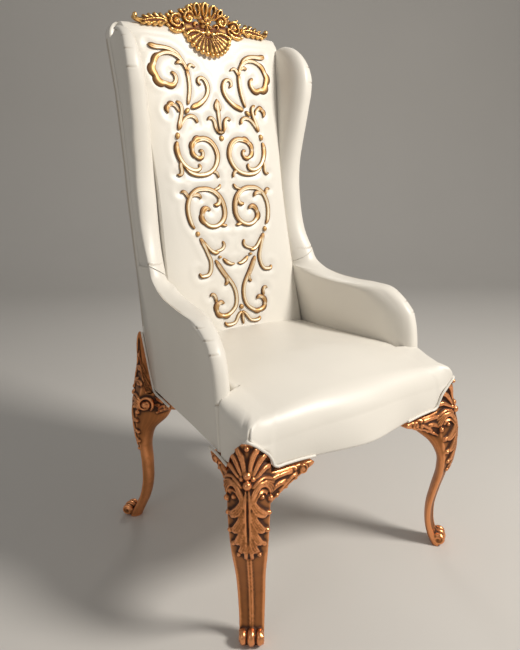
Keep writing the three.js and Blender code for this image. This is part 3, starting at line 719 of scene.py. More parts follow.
def seat_outline():
    """Rows of x, y and the lower edge's height, from the middle of the front round to the rear"""
    front = []
    for x in np.linspace(0, 226, 58):
        low = 368 if x < 134 else mix(368, 376, (x - 134) / 93)
        front.append((x, SEAT_FRONT + 1 - rail_bow(x), low))
    shoulder = [
        (227, -310, 377), (234, -310.5, 381), (237, -311, 391), (243, -311, 404), (252, -311, 413),
        (262, -311, 421), (272, -311, 430), (280, -311, 437), (285, -310, 440),
    ]
    corner = [
        (288, -307.5, 440), (289, -303, 439), (289, -296, 436), (289, -288, 429), (289, -280, 420),
        (289, -272, 409), (289, -264, 395), (289, -257, 380), (289, -252, 369), (289, -246, 368),
    ]
    flank = [(289, y, 370) for y in np.linspace(-240, -211, 8)]
    low = 378
    inside = [(288, -208.5), (276, -202.6), (262, -196.5), (250, -191.3), (240, -187)]
    inside = [(x, y, low) for x, y in inside]
    inside += [(arm_inner(y, 480) - 1.2, y, low) for y in np.linspace(-183, 150, 80)]
    rear = [(x, 151.5, low) for x in np.linspace(190, 4, 40)]
    bend = list(curve_through(shoulder[-3:] + corner[:5], 26))
    half = front + shoulder[:-3] + bend + corner[5:] + flank + inside + rear
    other = [(-x, y, z) for x, y, z in half[1:]][::-1]
    return np.array(half + other, float)


def seat_part():
    """A flat underside, sides that pull in a little, a rolled edge and a crowned top"""
    outline = seat_outline()
    bow = np.array([rail_bow(x) if y < SEAT_FRONT + 2 else 0.0 for x, y, low in outline])
    low = outline[:, 2]
    roll = np.interp(outline[:, 1], (-285, -245, -212, -205), (SEAT_ROLL, 34, 28, INNER_ROLL))
    roll = np.convolve(np.concatenate([roll[-9:], roll, roll[:9]]), np.ones(19) / 19, "valid")
    drop = np.minimum(roll, seat_top(*outline[:, :2].T) - low - 6)
    roll = np.minimum(roll, 1.3 * drop + 4)

    def ring(height, inset=0.0, share=0.0, straight=0.0):
        """The outline drawn in by a distance, then by a share of what is left, at a height for each place"""
        flat = outline[:, :2] + np.column_stack([0 * bow, straight * bow])
        spokes = flat - SEAT_MIDDLE
        reach = np.linalg.norm(spokes, axis=1)
        drawn_in = mix(inset, reach, share)
        place = SEAT_MIDDLE + spokes * (1 - drawn_in / reach)[:, None]
        return np.column_stack([place, height(place)])

    rings = []
    for share in (0.97, 0.6, 0.25):
        rings.append(ring(lambda place: np.full(len(low), float(SEAT_UNDERSIDE)), share=share))
    rings.append(ring(lambda place: np.maximum(low, 380), inset=9))
    rings.append(ring(lambda place: low + 0.2, inset=2.2))
    for part in np.linspace(0, 1, 20):
        inset = 0.6 - 2.2 * math.sin(part * math.pi) ** 0.8
        rings.append(ring(
            lambda place: mix(low + 1.5, seat_top(*place.T) - drop, part), inset, straight=0.6 * part,
        ))
    for turn in np.linspace(0.1, math.pi / 2, 16):
        inset = 0.6 + roll * (1 - math.cos(turn)) ** 1.1
        rings.append(ring(
            lambda place: seat_top(*place.T) - drop * (1 - math.sin(turn)), inset,
            straight=0.6 + 0.4 * turn / 2,
        ))
    for share in np.linspace(0, 1, 42)[1:-1]:
        rings.append(ring(lambda place: seat_top(*place.T), roll + 0.6, share, 0.91 + 0.09 * share))
    return skin(rings)


class MESH_OT_throne_seat(bpy.types.Operator):
    """Upholster the seat: a crowned top over a bowed front rail, with a dart at each front corner"""
    bl_idname = "mesh.throne_seat"
    bl_label = "Seat"

    def execute(self, context):
        seam = context.scene.throne_upholstery.seam / MM
        piece = build("seat_cushion", seat_part(), leather())
        unevenness(piece, 0.9)
        lines = []
        for side in (-1, 1):
            dart = [(288, -310, 441), (287, -309, 449), (285, -307, 456), (281, -303, 463)]
            lines.append(([(side * x, y, z) for x, y, z in dart], seam * 2.2, 1.8, 0.5))
        press(piece, lines)
        dress(piece, "leather", "seat")
        return {"FINISHED"}


def front_welt():
    """The leather's lower edge over a front leg, from one ear of the leg to the other"""
    front = [
        (134, -312, 370), (170, -312, 374), (207, -312, 376), (228, -312, 377.5), (234, -312, 382),
        (238, -312.5, 392), (246, -313, 406), (262, -313, 421), (274, -313, 431.5), (283, -312.5, 438),
    ]
    side = [
        (288.5, -309, 441), (290.5, -302, 439), (290.5, -292, 432), (290.5, -280, 419),
        (290.5, -268, 402), (290.5, -257, 380), (290.5, -251, 369), (290.5, -244, 366.5),
        (290, -215, 372), (289, -190, 376), (287.5, -165, 376.5),
    ]
    return front + side


def rear_welt():
    """The leather's lower edge over a rear leg, from the ear under the side up the rear corner"""
    return [
        (256, 76, 377.5), (250, 120, 377.5), (244, 170, 378), (241.5, 186, 381), (240.5, 194, 394),
        (240.5, 212, 440), (240.5, 226, 480), (241, 238, 522),
    ]


def tube(points, radius, count, around=8):
    """A round cord along a smooth line"""
    line = curve_through(points, count, 3)
    ahead = np.gradient(line, axis=0)
    ahead /= np.linalg.norm(ahead, axis=1)[:, None]
    level = np.cross(ahead, (0.31, 0.17, 0.93))
    level /= np.linalg.norm(level, axis=1)[:, None]
    upright = np.cross(ahead, level)
    turns = np.linspace(0, 2 * math.pi, around, endpoint=False)
    return skin([
        [spot + radius * (math.cos(turn) * one + math.sin(turn) * two) for turn in turns]
        for spot, one, two in zip(line, level, upright)
    ])


class MESH_OT_throne_welts(bpy.types.Operator):
    """Sew the piping along the leather's lower edge, over each leg"""
    bl_idname = "mesh.throne_welts"
    bl_label = "Welts"

    def execute(self, context):
        for end, line in (("front", front_welt()), ("rear", rear_welt())):
            cord = tube(line, WELT, int(length_of(line, 3) / 2))
            for hand, part in (("left", cord), ("right", mirrored(cord))):
                dress(build(f"welt_{end}_{hand}", part, leather()), "leather")
        return {"FINISHED"}


# Carving: strokes are laid on a surface and grown together into one skin

VEIN_WIDTH = 1.5
SETTLING_ROUNDS, FINE_ROUNDS, BROAD_ROUNDS = 2, 12, 60
FINE_RISE, BROAD_RISE = 2.2, 5.0

def surface_stroke(spot_at, rows, width, height, sunk=2.5, spacing=2.2, around=8):
    """A raised stroke: spot_at(first, second, proud) is a place on the surface; rows may add a size"""
    rows = np.array([(*row, 1.0) if len(row) == 2 else row for row in rows], float)
    count = max(5, int(length_of(rows) / spacing))
    line = curve_through(rows, count)
    ahead = np.gradient(line[:, :2], axis=0)
    ahead /= np.maximum(np.linalg.norm(ahead, axis=1), 1e-6)[:, None]
    part = np.linspace(0, 1, count)
    ends = np.sqrt(clamp(1 - (2 * np.abs(part - 0.5)) ** 6) + 0.02)
    turns = np.linspace(0, 2 * math.pi, around, endpoint=False)
    rings = []
    for (first, second, size), (to_first, to_second), end in zip(line, ahead, ends):
        wide, high = width * size * end, height * (0.5 + 0.5 * size) * end
        ring = []
        for turn in turns:
            aside, up = wide * math.cos(turn), math.sin(turn)
            proud = high * up if up > 0 else sunk * up
            ring.append(spot_at(first - to_second * aside, second + to_first * aside, proud))
        rings.append(ring)
    return skin(rings)


def beside(rows, offset):
    """The line that runs alongside, at an offset that follows the line's size"""
    line = curve_through(rows, 9)
    ahead = np.gradient(line[:, :2], axis=0)
    ahead /= np.linalg.norm(ahead, axis=1)[:, None]
    shift = offset * line[:, 2]
    return np.column_stack([line[:, 0] - ahead[:, 1] * shift, line[:, 1] + ahead[:, 0] * shift, line[:, 2]])


def veined(spot_at, rows, half, height, veins=3):
    """A lobe of a leaf: a mound with veins along it"""
    parts = [surface_stroke(spot_at, rows, half, 0.68 * height, 3, 2.2, 12)]
    for offset in np.linspace(-0.62, 0.62, veins):
        parts.append(surface_stroke(spot_at, beside(rows, offset * half), VEIN_WIDTH, height, 2.5, 1.8))
    return parts


def ball(spot, radius):
    centre = np.array(spot, float)
    rings = []
    for rise in np.linspace(-math.pi / 2 + 0.12, math.pi / 2 - 0.12, 9):
        ring = []
        for turn in np.linspace(0, 2 * math.pi, 14, endpoint=False):
            level = math.cos(rise)
            out = np.array([level * math.cos(turn), level * math.sin(turn), math.sin(rise)])
            ring.append(centre + radius * out)
        rings.append(ring)
    return skin(rings)


def spiral(centre, radius, turns, start, hand, close=0.2):
    """A line that winds in to its centre, getting thinner"""
    rows = []
    for part in np.linspace(0, 1, int(14 * turns)):
        angle = start + hand * part * turns * 2 * math.pi
        reach = radius * (1 - (1 - close) * part)
        first = centre[0] + reach * math.cos(angle)
        second = centre[1] + reach * math.sin(angle)
        rows.append((first, second, 1 - 0.45 * part))
    return rows


def smoothed(spots, edges, rounds):
    count = np.maximum(np.bincount(edges.ravel(), minlength=len(spots)), 1)[:, None]
    for _ in range(rounds):
        total = np.zeros_like(spots)
        for axis in range(3):
            total[:, axis] = np.bincount(edges[:, 0], spots[edges[:, 1], axis], len(spots))
            total[:, axis] += np.bincount(edges[:, 1], spots[edges[:, 0], axis], len(spots))
        spots = 0.5 * spots + 0.5 * total / count
    return spots


def grown_together(name, part, material, voxel):
    """The part as one carved skin, with how high each spot lies over its surroundings kept on it"""
    rough = build(name + "_rough", part, material)
    remesh = rough.modifiers.new("skin", "REMESH")
    remesh.mode = "VOXEL"
    remesh.voxel_size = voxel * MM
    shaped = bpy.data.meshes.new_from_object(rough.evaluated_get(bpy.context.evaluated_depsgraph_get()))
    bpy.data.objects.remove(rough)
    flat = np.zeros(len(shaped.edges) * 2, np.int32)
    shaped.edges.foreach_get("vertices", flat)
    edges = flat.reshape(-1, 2)
    spots = smoothed(spots_of(shaped), edges, SETTLING_ROUNDS)
    set_spots(shaped, spots)
    normals = normals_of(shaped)
    fine = ((spots - smoothed(spots, edges, FINE_ROUNDS)) * normals).sum(1)
    broad = ((spots - smoothed(spots, edges, BROAD_ROUNDS)) * normals).sum(1)
    # The relief sets the gilt's painted shade in the hollows and its painted highlight on the ridges
    mark(shaped, "relief", clamp(0.5 + fine / (FINE_RISE * MM) + broad / (BROAD_RISE * MM)))
    shaped.shade_smooth()
    shaped.name = name
    piece = bpy.data.objects.new(name, shaped)
    bpy.context.scene.collection.objects.link(piece)
    return piece


def mirror_copy(piece, name):
    mesh = piece.data.copy()
    mesh.name = name
    spots = spots_of(mesh)
    spots[:, 0] *= -1
    set_spots(mesh, spots)
    mesh.flip_normals()
    copy = bpy.data.objects.new(name, mesh)
    bpy.context.scene.collection.objects.link(copy)
    return copy


# The legs

# Stations of a leg: height, outer and inner reach, half width and fall
FRONT_STATIONS = [
    (438, 12, -44, 36, 36), (392, 12, -66, 42, 46), (352, 21, -82, 42, 44), (315, 27, -84, 41, 35),
    (282, 27, -38, 40, 26), (250, 24, -17, 38, 19), (205, 13, -13, 35, 12), (150, -3, -24, 30, 9),
    (100, -13, -33, 28, 8), (50, -9, -31, 26, 8), (22, 2, -24, 25, 7), (0, 8, -14, 24, 3),
]
REAR_STATIONS = [
    (536, 13, -12, 12, 8), (500, 17, -22, 22, 18), (446, 20, -36, 31, 28), (400, 31, -50, 36, 34),
    (350, 40, -66, 37, 30), (305, 44, -52, 33, 20), (265, 41, -12, 29, 15), (225, 35, 3, 25, 11),
    (165, 29, 2, 21, 7), (105, 32, 5, 19, 6), (60, 45, 18, 19, 6), (28, 62, 34, 20, 5), (0, 74, 48, 19, 3),
]


class Leg:
    """A cabriole leg in the upright plane through its corner: out from the corner, and across"""

    def __init__(self, x, y, turn, stations, toe, fuller=0.0):
        self.x, self.y = x, y
        self.fuller = fuller
        self.cos, self.sin = math.cos(math.radians(turn)), math.sin(math.radians(turn))
        self.stations = curve_through(stations, 400)
        self.toe = toe

    def spot(self, out, across, z):
        return np.array([
            self.x + out * self.cos - across * self.sin, self.y + out * self.sin + across * self.cos, z,
        ])

    def station(self, z, across=0.0):
        """Outer and inner reach, half width and fall; at the knee the front side falls away less"""
        heights = self.stations[::-1, 0]
        columns = self.stations[::-1, 1:].T
        outer, inner, half, fall = [np.interp(z, heights, column) for column in columns]
        if across < 0:
            fall *= 1 - self.fuller * smooth_step(z, 325, 375)
        return outer, inner, half, fall

    def on_face(self, z, across, proud):
        """A place on the outer face, which runs on round its corners along the sides"""
        outer, _, half, fall = self.station(z, across)
        beyond = max(0.0, abs(across) - half)
        aside = math.copysign(min(abs(across), half), across)
        out = outer - fall * min(1.0, abs(across) / half) ** 1.6 - beyond
        slope = 1.6 * fall / half * min(1.0, abs(across) / half) ** 0.6
        lean = math.atan(slope) if beyond == 0 else math.pi / 2
        push = proud * math.sin(lean) * math.copysign(1, across)
        return self.spot(out + proud * math.cos(lean), aside + push, z)

    def body(self):
        rings = []
        for z in np.linspace(self.stations[0, 0], self.stations[-1, 0], 120):
            ring = []
            for part in np.linspace(-1, 1, 29):
                outer, inner, half, fall = self.station(z, part)
                ring.append(self.spot(outer - fall * abs(part) ** 1.6, part * half, z))
            for turn in np.linspace(0, math.pi, 17)[1:-1]:
                aside = math.cos(turn)
                outer, inner, half, fall = self.station(z, aside)
                ring.append(self.spot(mix(outer - fall, inner, math.sin(turn) ** 0.7), half * aside, z))
            rings.append(ring)
        return skin(rings)

    def toe_scroll(self):
        out, height, radius, half = self.toe
        rollers = []
        for middle, wide, size in ((0, 0.36, 1.0), (-0.66, 0.3, 0.9), (0.66, 0.3, 0.9)):
            rings = []
            for part in np.linspace(-1, 1, 9):
                reach = radius * size * (1 - 0.5 * abs(part) ** 3.2)
                across = half * (middle + wide * part)
                rings.append([
                    self.spot(out + reach * math.cos(turn), across, height + reach * math.sin(turn))
                    for turn in np.linspace(0, 2 * math.pi, 28, endpoint=False)
                ])
            rollers.append(skin(rings))
        for side in (-1, 1):
            def on_end(first, second, proud, side=side):
                return self.spot(out + first, side * (half * 0.93 + proud), height + second)
            rollers.append(surface_stroke(on_end, spiral((0, 0), radius * 0.72, 1.5, 1.2, side), 2.6, 2.4))
        return rollers


# Carving of the knee: beads as height, across and radius, and strokes as rows of those with a half width
KNEE_BEADS = [
    (377, 0, 7.5), (360, 0, 8.5), (369, 9.5, 4.2), (429, 0, 5), (331, 25, 4.5), (321, 39, 6), (296, 37, 4.8),
    (263, 34, 4.8), (236, 28, 4.6), (211, 19, 4.2),
]
KNEE_FAN = [
    ([(374, 3, 0.5), (398, 6, 0.8), (417, 12, 1), (427, 20, 1.0)], 5.6),
    ([(373, 8, 0.5), (391, 16, 0.8), (404, 25, 1), (408, 35, 1.0)], 5.6),
    ([(369, 12, 0.5), (378, 23, 0.8), (384, 32, 1), (381, 41, 1.0)], 5.2),
]
KNEE_LEAF = [
    ([(320, 6, 0.5), (342, 11, 0.8), (355, 21, 1), (353, 32, 1.1), (340, 40, 1.1), (327, 43, 0.9)], 6.6),
    ([(322, 10, 0.5), (334, 14, 0.8), (342, 22, 0.9), (338, 31, 0.9), (330, 34, 0.8)], 3.2),
    ([(340, 5, 0.5), (322, 10, 0.9), (306, 19, 1.1), (297, 29, 1), (298, 36, 0.7)], 7.6),
    ([(318, 5, 0.5), (298, 9, 0.9), (278, 17, 1.1), (266, 26, 1), (265, 33, 0.7)], 7.6),
    ([(294, 5, 0.5), (272, 8, 0.9), (252, 15, 1.1), (240, 22, 1), (238, 28, 0.7)], 7.0),
    ([(270, 4, 0.5), (248, 6, 0.9), (228, 11, 1.1), (215, 17, 0.9)], 6.0),
    ([(250, 3, 0.5), (224, 4, 0.9), (200, 6, 0.7)], 4.5),
]
TALL_LEAF = [
    ([(376, 6, 0.5), (392, 10, 0.8), (404, 17, 1), (408, 26, 0.9)], 5.6),
    ([(410, 5, 0.5), (424, 8, 0.8), (436, 13, 1), (441, 19, 0.9)], 4.6),
    ([(380, 4, 0.7), (430, 5, 1), (490, 4, 0.9), (527, 1, 0.6)], 4.4),
]
TALL_CURLS = [
    (344, 58, 23), (398, 29, 8.5), (404, 49, 10), (435, 21, 8), (441, 40, 9), (467, 14, 6), (474, 31, 8),
    (501, 20, 7),
]


# Where a leg stands and faces, its toe and its ears: start, ahead, inward, reach and three heights
FRONT_LEG = {"x": 283, "y": -296.4, "turn": -52, "toe": (4, 18, 17.6, 25), "fuller": 0.24}
REAR_LEG = {"x": 238, "y": 226, "turn": 54, "toe": (80, 17.4, 17, 22)}
FRONT_EARS = [
    ((262, -309), (-1, 0), (0, 1), 129, (290, 367, 361)),
    ((284, -262), (0, 1), (-1, 0), 100, (292, 342, 371)),
]
REAR_EARS = [
    ((238, 214), (0, -1), (-1, 0), 134, (296, 372, 372)),
    ((218, 228), (-1, 0), (0, -1), 90, (300, 380, 380)),
]
SHAFT_TOP = 214
LEG_SHINE = 0.27
CREST_SHINE = 0.25


def both(strokes):
    """Strokes with their mirror images, as (line, half width)"""
    whole = [(np.array(line, float), half) for line, half in strokes]
    return whole + [(line * np.array([1, -1, 1]), half) for line, half in whole]


def knee_carving(leg, shell):
    """A shell or a tall leaf over the knee, and a long leaf with beads below it"""
    parts = []
    for line, half in both((KNEE_FAN if shell else TALL_LEAF) + KNEE_LEAF):
        veins = 4 if half > 6.2 else 3 if half > 3.5 else 1
        parts += veined(leg.on_face, line, half, 7.2, veins)
    curls = [([(352, 7, 0.8), (362, 16, 1), (366, 27, 1), (360, 38, 1), (350, 45, 0.9)], 2.8)]
    if not shell:
        for z, across, radius in TALL_CURLS:
            curls.append((spiral((z, across), radius, 1.5, 2.4, -1, 0.3), 1.8 + 0.12 * radius))
            for side in (-1, 1):
                parts.append(ball(leg.on_face(z, side * across, 2.5), 1.5 + 0.32 * radius))
    stem = [([(356, 2.4, 1), (300, 3, 1), (250, 2.6, 1), (208, 1.6, 0.8)], 2.0)]
    for line, half in both(curls + stem):
        parts.append(surface_stroke(leg.on_face, line, half, 6.4))
    for z, across, radius in KNEE_BEADS:
        if z < 420 or shell:
            for side in (-1, 1) if across else (1,):
                parts.append(ball(leg.on_face(z, side * across, 2.5), radius))
    return parts


def ear_parts(start, ahead, inward, reach, heights, thickness=30):
    """A bracket from the knee along a rail, with a leaf, beads and a curl carved on its face"""
    start, ahead, inward = (np.array([*pair, 0.0]) for pair in (start, ahead, inward))
    root, top, tip = heights

    def lower(part):
        return root * (1 - part) ** 2 + (tip - 26) * 2 * part * (1 - part) + (tip - 11) * part**2

    def on_face(along, z, proud):
        return start + ahead * along - inward * proud + np.array([0, 0, z])

    rings = []
    for part in np.linspace(0, 1, 26):
        along = part * reach
        high, low = mix(top, tip, part), lower(part)
        end = math.sqrt(max(0.0, 1 - max(0.0, (along - reach + 8) / 8) ** 2))
        middle = (high + low) / 2
        high, low = mix(middle, high, max(end, 0.1)), mix(middle, low, max(end, 0.1))
        ring = [
            (high, 0), (mix(high, low, 0.25), -1.5), (mix(high, low, 0.75), -1.5), (low + 1, 0),
            (low, 5), (low, thickness), (high, thickness),
        ]
        rings.append([on_face(along, z, -deep) for z, deep in ring])
    parts = [skin(rings)]
    curl = (reach * 0.76, tip - 10.5)
    parts.append(surface_stroke(on_face, spiral(curl, 10.5, 1.5, 2.2, -1, 0.25), 2.8, 7.0))
    parts.append(ball(on_face(*curl, 3), 4))
    edge = [(reach * part, lower(part) + 3.5, 1.0) for part in np.linspace(0.0, 0.94, 12)]
    parts.append(surface_stroke(on_face, edge, 2.6, 3.4))

    def inside(along, rise):
        return reach * along, mix(lower(along), mix(top, tip, along), rise)

    for places, half in (
        (((-0.06, 0.76, 0.6), (0.2, 0.8, 0.9), (0.42, 0.8, 1), (0.58, 0.68, 0.9)), 5.2),
        (((-0.06, 0.34, 0.6), (0.14, 0.42, 0.9), (0.32, 0.46, 1), (0.46, 0.34, 1.1)), 5.4),
        (((0.3, 0.16, 0.6), (0.46, 0.3, 0.9), (0.6, 0.4, 1), (0.66, 0.3, 1)), 3.4),
    ):
        parts += veined(on_face, [(*inside(along, rise), size) for along, rise, size in places], half, 6.0)
    for along, rise, size in ((0.62, 0.12, 4), (0.44, 0.06, 3.6), (0.27, 0.06, 3.6), (0.62, 0.8, 3.4)):
        parts.append(ball(on_face(*inside(along, rise), 2), size))
    for along in (0.62, 0.9):
        parts.append(ball(on_face(*inside(along, 0.5), 1), 3.0))
    return parts


def shaft_strokes(leg, top, low):
    """Twin ribs down the middle of the shaft and a fillet along each side"""
    steps = 24
    heights = np.linspace(top, low, steps)
    ribs = [(z, 3.0 * (1 - 0.2 * step / (steps - 1)), 1.0) for step, z in enumerate(heights)]
    fillets = [(z, leg.station(z)[2] * 0.86, 1.0) for z in heights]
    return both([(ribs, 2.0)]), both([(fillets, 2.2)])


def carved_leg(leg, shell, low, ears):
    parts = [leg.body(), *leg.toe_scroll(), *knee_carving(leg, shell)]
    ribs, fillets = shaft_strokes(leg, SHAFT_TOP, low)
    parts += [surface_stroke(leg.on_face, rows, half, 2.2) for rows, half in ribs]
    parts += [surface_stroke(leg.on_face, rows, half, 1.2) for rows, half in fillets]
    for ear in ears:
        parts += ear_parts(*ear)
    return gathered(parts)


def under_leather(piece, limit_at):
    """Keeps the top of a leg under the leather"""
    spots = spots_of(piece.data) / MM
    limit = limit_at(np.abs(spots[:, 0]), spots[:, 1])
    spots[:, 2] = np.minimum(spots[:, 2], limit)
    set_spots(piece.data, spots * MM)


def under_front(x, y):
    """Just under the leather at a front corner: a curved edge on each face, a steeper slant inside"""
    front_x, front_z = (227, 233, 236, 241, 261, 283, 289), (374, 378, 389, 404, 421.5, 438, 441)
    side_y, side_z = (-311, -296, -282, -266.5, -256, -250), (441, 437, 423, 400.5, 379, 366)
    along_front = np.interp(x, front_x, front_z)
    along_side = np.interp(y, side_y, side_z)
    peak, rail, gap = 441, 366, 1.5
    from_side, from_front = 289 - x, y - SEAT_FRONT
    slant = peak - 1 - 1.065 * np.maximum(0, from_side) - 1.213 * np.maximum(0, from_front)
    inside = smooth_step(np.minimum(from_side, from_front), 8, 20)
    return np.maximum(rail, mix(along_front + along_side - peak, slant, inside) - gap)


def under_rear(x, y):
    """Just under the leather at a rear corner, which slants up to its peak"""
    peak, rail, gap, fall = 530, 376, 4, 2.936
    slant = peak - fall * np.maximum(0, 240 - x) - fall * np.maximum(0, 241 - y)
    return np.maximum(rail, slant - gap)


def carve_pair(context, end, part, limit_at):
    """Grows the sitter's left leg at one end of the throne, and mirrors it for the right"""
    carving = context.scene.throne_carving
    gilt = material("leg_gilt", gilt_finish, "leg_gilt", carving.leg_gold, carving.leg_shade_and_patina, LEG_SHINE)
    left = grown_together(f"carved_leg_{end}_left", part, gilt, carving.grain / MM)
    under_leather(left, limit_at)
    right = mirror_copy(left, f"carved_leg_{end}_right")
    for hand, piece in (("left", left), ("right", right)):
        dress(piece, "copper_gold", f"leg_{end}_{hand}")


class ThroneCarving(bpy.types.PropertyGroup):
    leg_gold: bpy.props.FloatVectorProperty(
        name="Leg gold", description="Colour of the gilding on the legs", subtype="COLOR",
        default=(0.53, 0.21, 0.075), min=0, max=1,
    )
    # Colour of the legs' hollows: painted shade, with some patina, laid where the relief is low
    leg_shade_and_patina: bpy.props.FloatVectorProperty(
        name="Leg recess", description="Colour of the patina in the hollows of the legs", subtype="COLOR",
        default=(0.06, 0.018, 0.006), min=0, max=1,
    )
    crest_gold: bpy.props.FloatVectorProperty(
        name="Crest gold", description="Colour of the gilding on the crest", subtype="COLOR",
        default=(0.55, 0.32, 0.10), min=0, max=1,
    )
    # Colour of the crest's hollows: painted shade, with some patina, laid where the relief is low
    crest_shade_and_patina: bpy.props.FloatVectorProperty(
        name="Crest recess", description="Colour of the patina in the hollows of the crest", subtype="COLOR",
        default=(0.15, 0.042, 0.018), min=0, max=1,
    )
    grain: bpy.props.FloatProperty(
        name="Carving step", description="Size of the faces that the carving is grown from",
        subtype="DISTANCE", unit="LENGTH", default=0.0017, min=0.001, max=0.01,
    )


class MESH_OT_throne_front_legs(bpy.types.Operator):
    """Carve the two front cabriole legs, with a shell on the knee, a long leaf, ears and scroll feet"""
    bl_idname = "mesh.throne_front_legs"
    bl_label = "Front legs"

    def execute(self, context):
        leg = Leg(stations=FRONT_STATIONS, **FRONT_LEG)
        carve_pair(context, "front", carved_leg(leg, True, 26, FRONT_EARS), under_front)
        return {"FINISHED"}


class MESH_OT_throne_rear_legs(bpy.types.Operator):
    """Carve the two rear cabriole legs, with a tall leaf up the corner, ears and scroll feet"""
    bl_idname = "mesh.throne_rear_legs"
    bl_label = "Rear legs"

    def execute(self, context):
        leg = Leg(stations=REAR_STATIONS, **REAR_LEG)
        carve_pair(context, "rear", carved_leg(leg, False, 34, REAR_EARS), under_rear)
        return {"FINISHED"}


# The crest

SHELL_TOP = 1250
FLOWER = 1266


def crest_face(z):
    """Depth of the crest's front: the drop leans on the panel and the top stands on the rail"""
    leaning = 248 + (z - 1190) * 0.404
    return np.minimum(leaning, 280.0)


def on_crest(x, z, proud):
    return np.array([x, crest_face(z) - proud, z])


def crest_strokes():
    """Strokes of x, height and size for one side: the wide ones that carry the rest, then the carving"""
    wide = [
        ([(104, 1262, 0.9), (124, 1265, 1.1), (146, 1263, 1.0), (168, 1258, 0.75), (183, 1259, 0.6),
          (189, 1265, 0.5), (186, 1270, 0.35)], 9, 6, 17),
        ([(0, 1254, 1), (20, 1256, 1), (42, 1258, 1), (64, 1257, 1), (86, 1255, 1), (108, 1257, 0.8)],
         11, 2, 17),
        ([(6, 1281, 1), (24, 1285, 1), (44, 1286, 1), (62, 1283, 1), (80, 1277, 0.9), (98, 1270, 0.8)],
         7, 1, 15),
        ([(0, 1236, 1), (18, 1234, 1), (34, 1230, 1), (48, 1228, 0.9), (58, 1232, 0.7)], 13, 2, 6),
        ([(-8, 1247, 1), (8, 1247, 1), (26, 1247, 1), (44, 1246, 0.8)], 12, 3, 12),
    ]
    carved = [
        (spiral((83, 1265), 17, 1.6, 2.5, -1, 0.24), 4.6, 12),
        (spiral((47, 1277), 15, 1.5, 2.9, -1, 0.24), 4.4, 12),
        ([(8, 1237, 0.6), (22, 1245, 1), (40, 1247, 1.1), (56, 1241, 1), (63, 1232, 0.8), (58, 1226, 0.6)],
         4.4, 12),
        ([(62, 1246, 0.7), (76, 1243, 1), (92, 1242, 1.2), (104, 1247, 0.8)], 5.4, 11),
        ([(62, 1262, 0.6), (66, 1250, 1), (78, 1246, 0.8)], 4.0, 11),
        ([(102, 1262, 0.8), (128, 1265.5, 1), (152, 1262, 0.9), (174, 1257, 0.8), (186, 1261, 1.1),
          (187, 1269, 1.0)], 2.6, 11),
        ([(22, 1262, 0.7), (30, 1268, 1), (34, 1262, 1), (30, 1256, 0.7)], 3.4, 11),
    ]
    for x, size in ((120, 1.0), (135, 1.0), (150, 0.9), (164, 0.75)):
        middle = 1264 - 0.13 * max(0, x - 130)
        upper = [
            (x - 17, middle + 3, 0.6), (x - 6, middle + 6, 1.0), (x + 2, middle + 12 * size, 1.0),
            (x + 1, middle + 17 * size, 0.6),
        ]
        lower = [
            (x - 17, middle - 3, 0.6), (x - 6, middle - 6, 1.0), (x + 5, middle - 12 * size, 1.2),
            (x + 11, middle - 14 * size, 0.7),
        ]
        carved.append((upper, 3.4 * size, 9.5))
        carved.append((lower, 3.6 * size, 9.5))
    for x, z in ((58, 1294), (68, 1292), (94, 1285), (103, 1278)):
        tuft = [(x - 8, z - 8, 0.7), (x - 2, z - 2, 1), (x + 2, z + 2, 0.9), (x - 1, z + 3.5, 0.5)]
        carved.append((tuft, 3.2, 8))
    loops = (
        ((0, 1282), (1, 1315), 8),
        ((18, 1283), (26, 1311), 8.5),
        ((36, 1289), (48, 1303), 6),
    )
    for low, high, bulge in loops:
        carved.append((loop(low, high, bulge), 2.7, 9))
    return wide, carved


def loop(low, high, bulge):
    """A pierced loop of the shell: up one side, over its tip and down the other"""
    low, high = np.array(low, float), np.array(high, float)
    ahead = high - low
    aside = np.array([ahead[1], -ahead[0]]) / np.linalg.norm(ahead)
    rows = []
    for turn in np.linspace(0.25, 2 * math.pi - 0.25, 18):
        part = (1 - math.cos(turn)) / 2
        place = low + ahead * part + aside * bulge * math.sin(turn) * (0.55 + 0.45 * part)
        rows.append((*place, 0.9 + 0.3 * part))
    return rows


def crest_flutes():
    """The flutes of the shell that hangs below, spread from under the flower"""
    flutes = []
    for step in np.linspace(-6, 6, 13):
        angle = step * 0.225
        reach = 62 + 0.16 * step * step
        rows = []
        for share, size in ((0.28, 0.5), (0.5, 0.75), (0.75, 1.0), (0.95, 1.15)):
            bent = angle + 0.1 * math.copysign(1, step) * math.sin(math.pi * share) if step else 0.0
            rows.append((share * reach * math.sin(bent), SHELL_TOP - share * reach * math.cos(bent), size))
        flutes.append(rows)
    return flutes


# Balls of the crest as x, height, how far proud and radius: those on both sides, then those in the middle
CREST_BALLS = (
    (83, 1265, 7, 6), (47, 1277, 7, 5.5), (56, 1229, 5, 4.5), (101, 1244, 6, 4.5),
    (187, 1268, 1, 6), (12, 1313, 1, 3.2), (37, 1309, 1, 3.2), (66, 1262, 5, 4),
)
MIDDLE_BALLS = ((0, FLOWER, 11, 6), (0, 1245, 4, 8), (-14, 1243, 4, 6.5), (14, 1243, 4, 6.5))


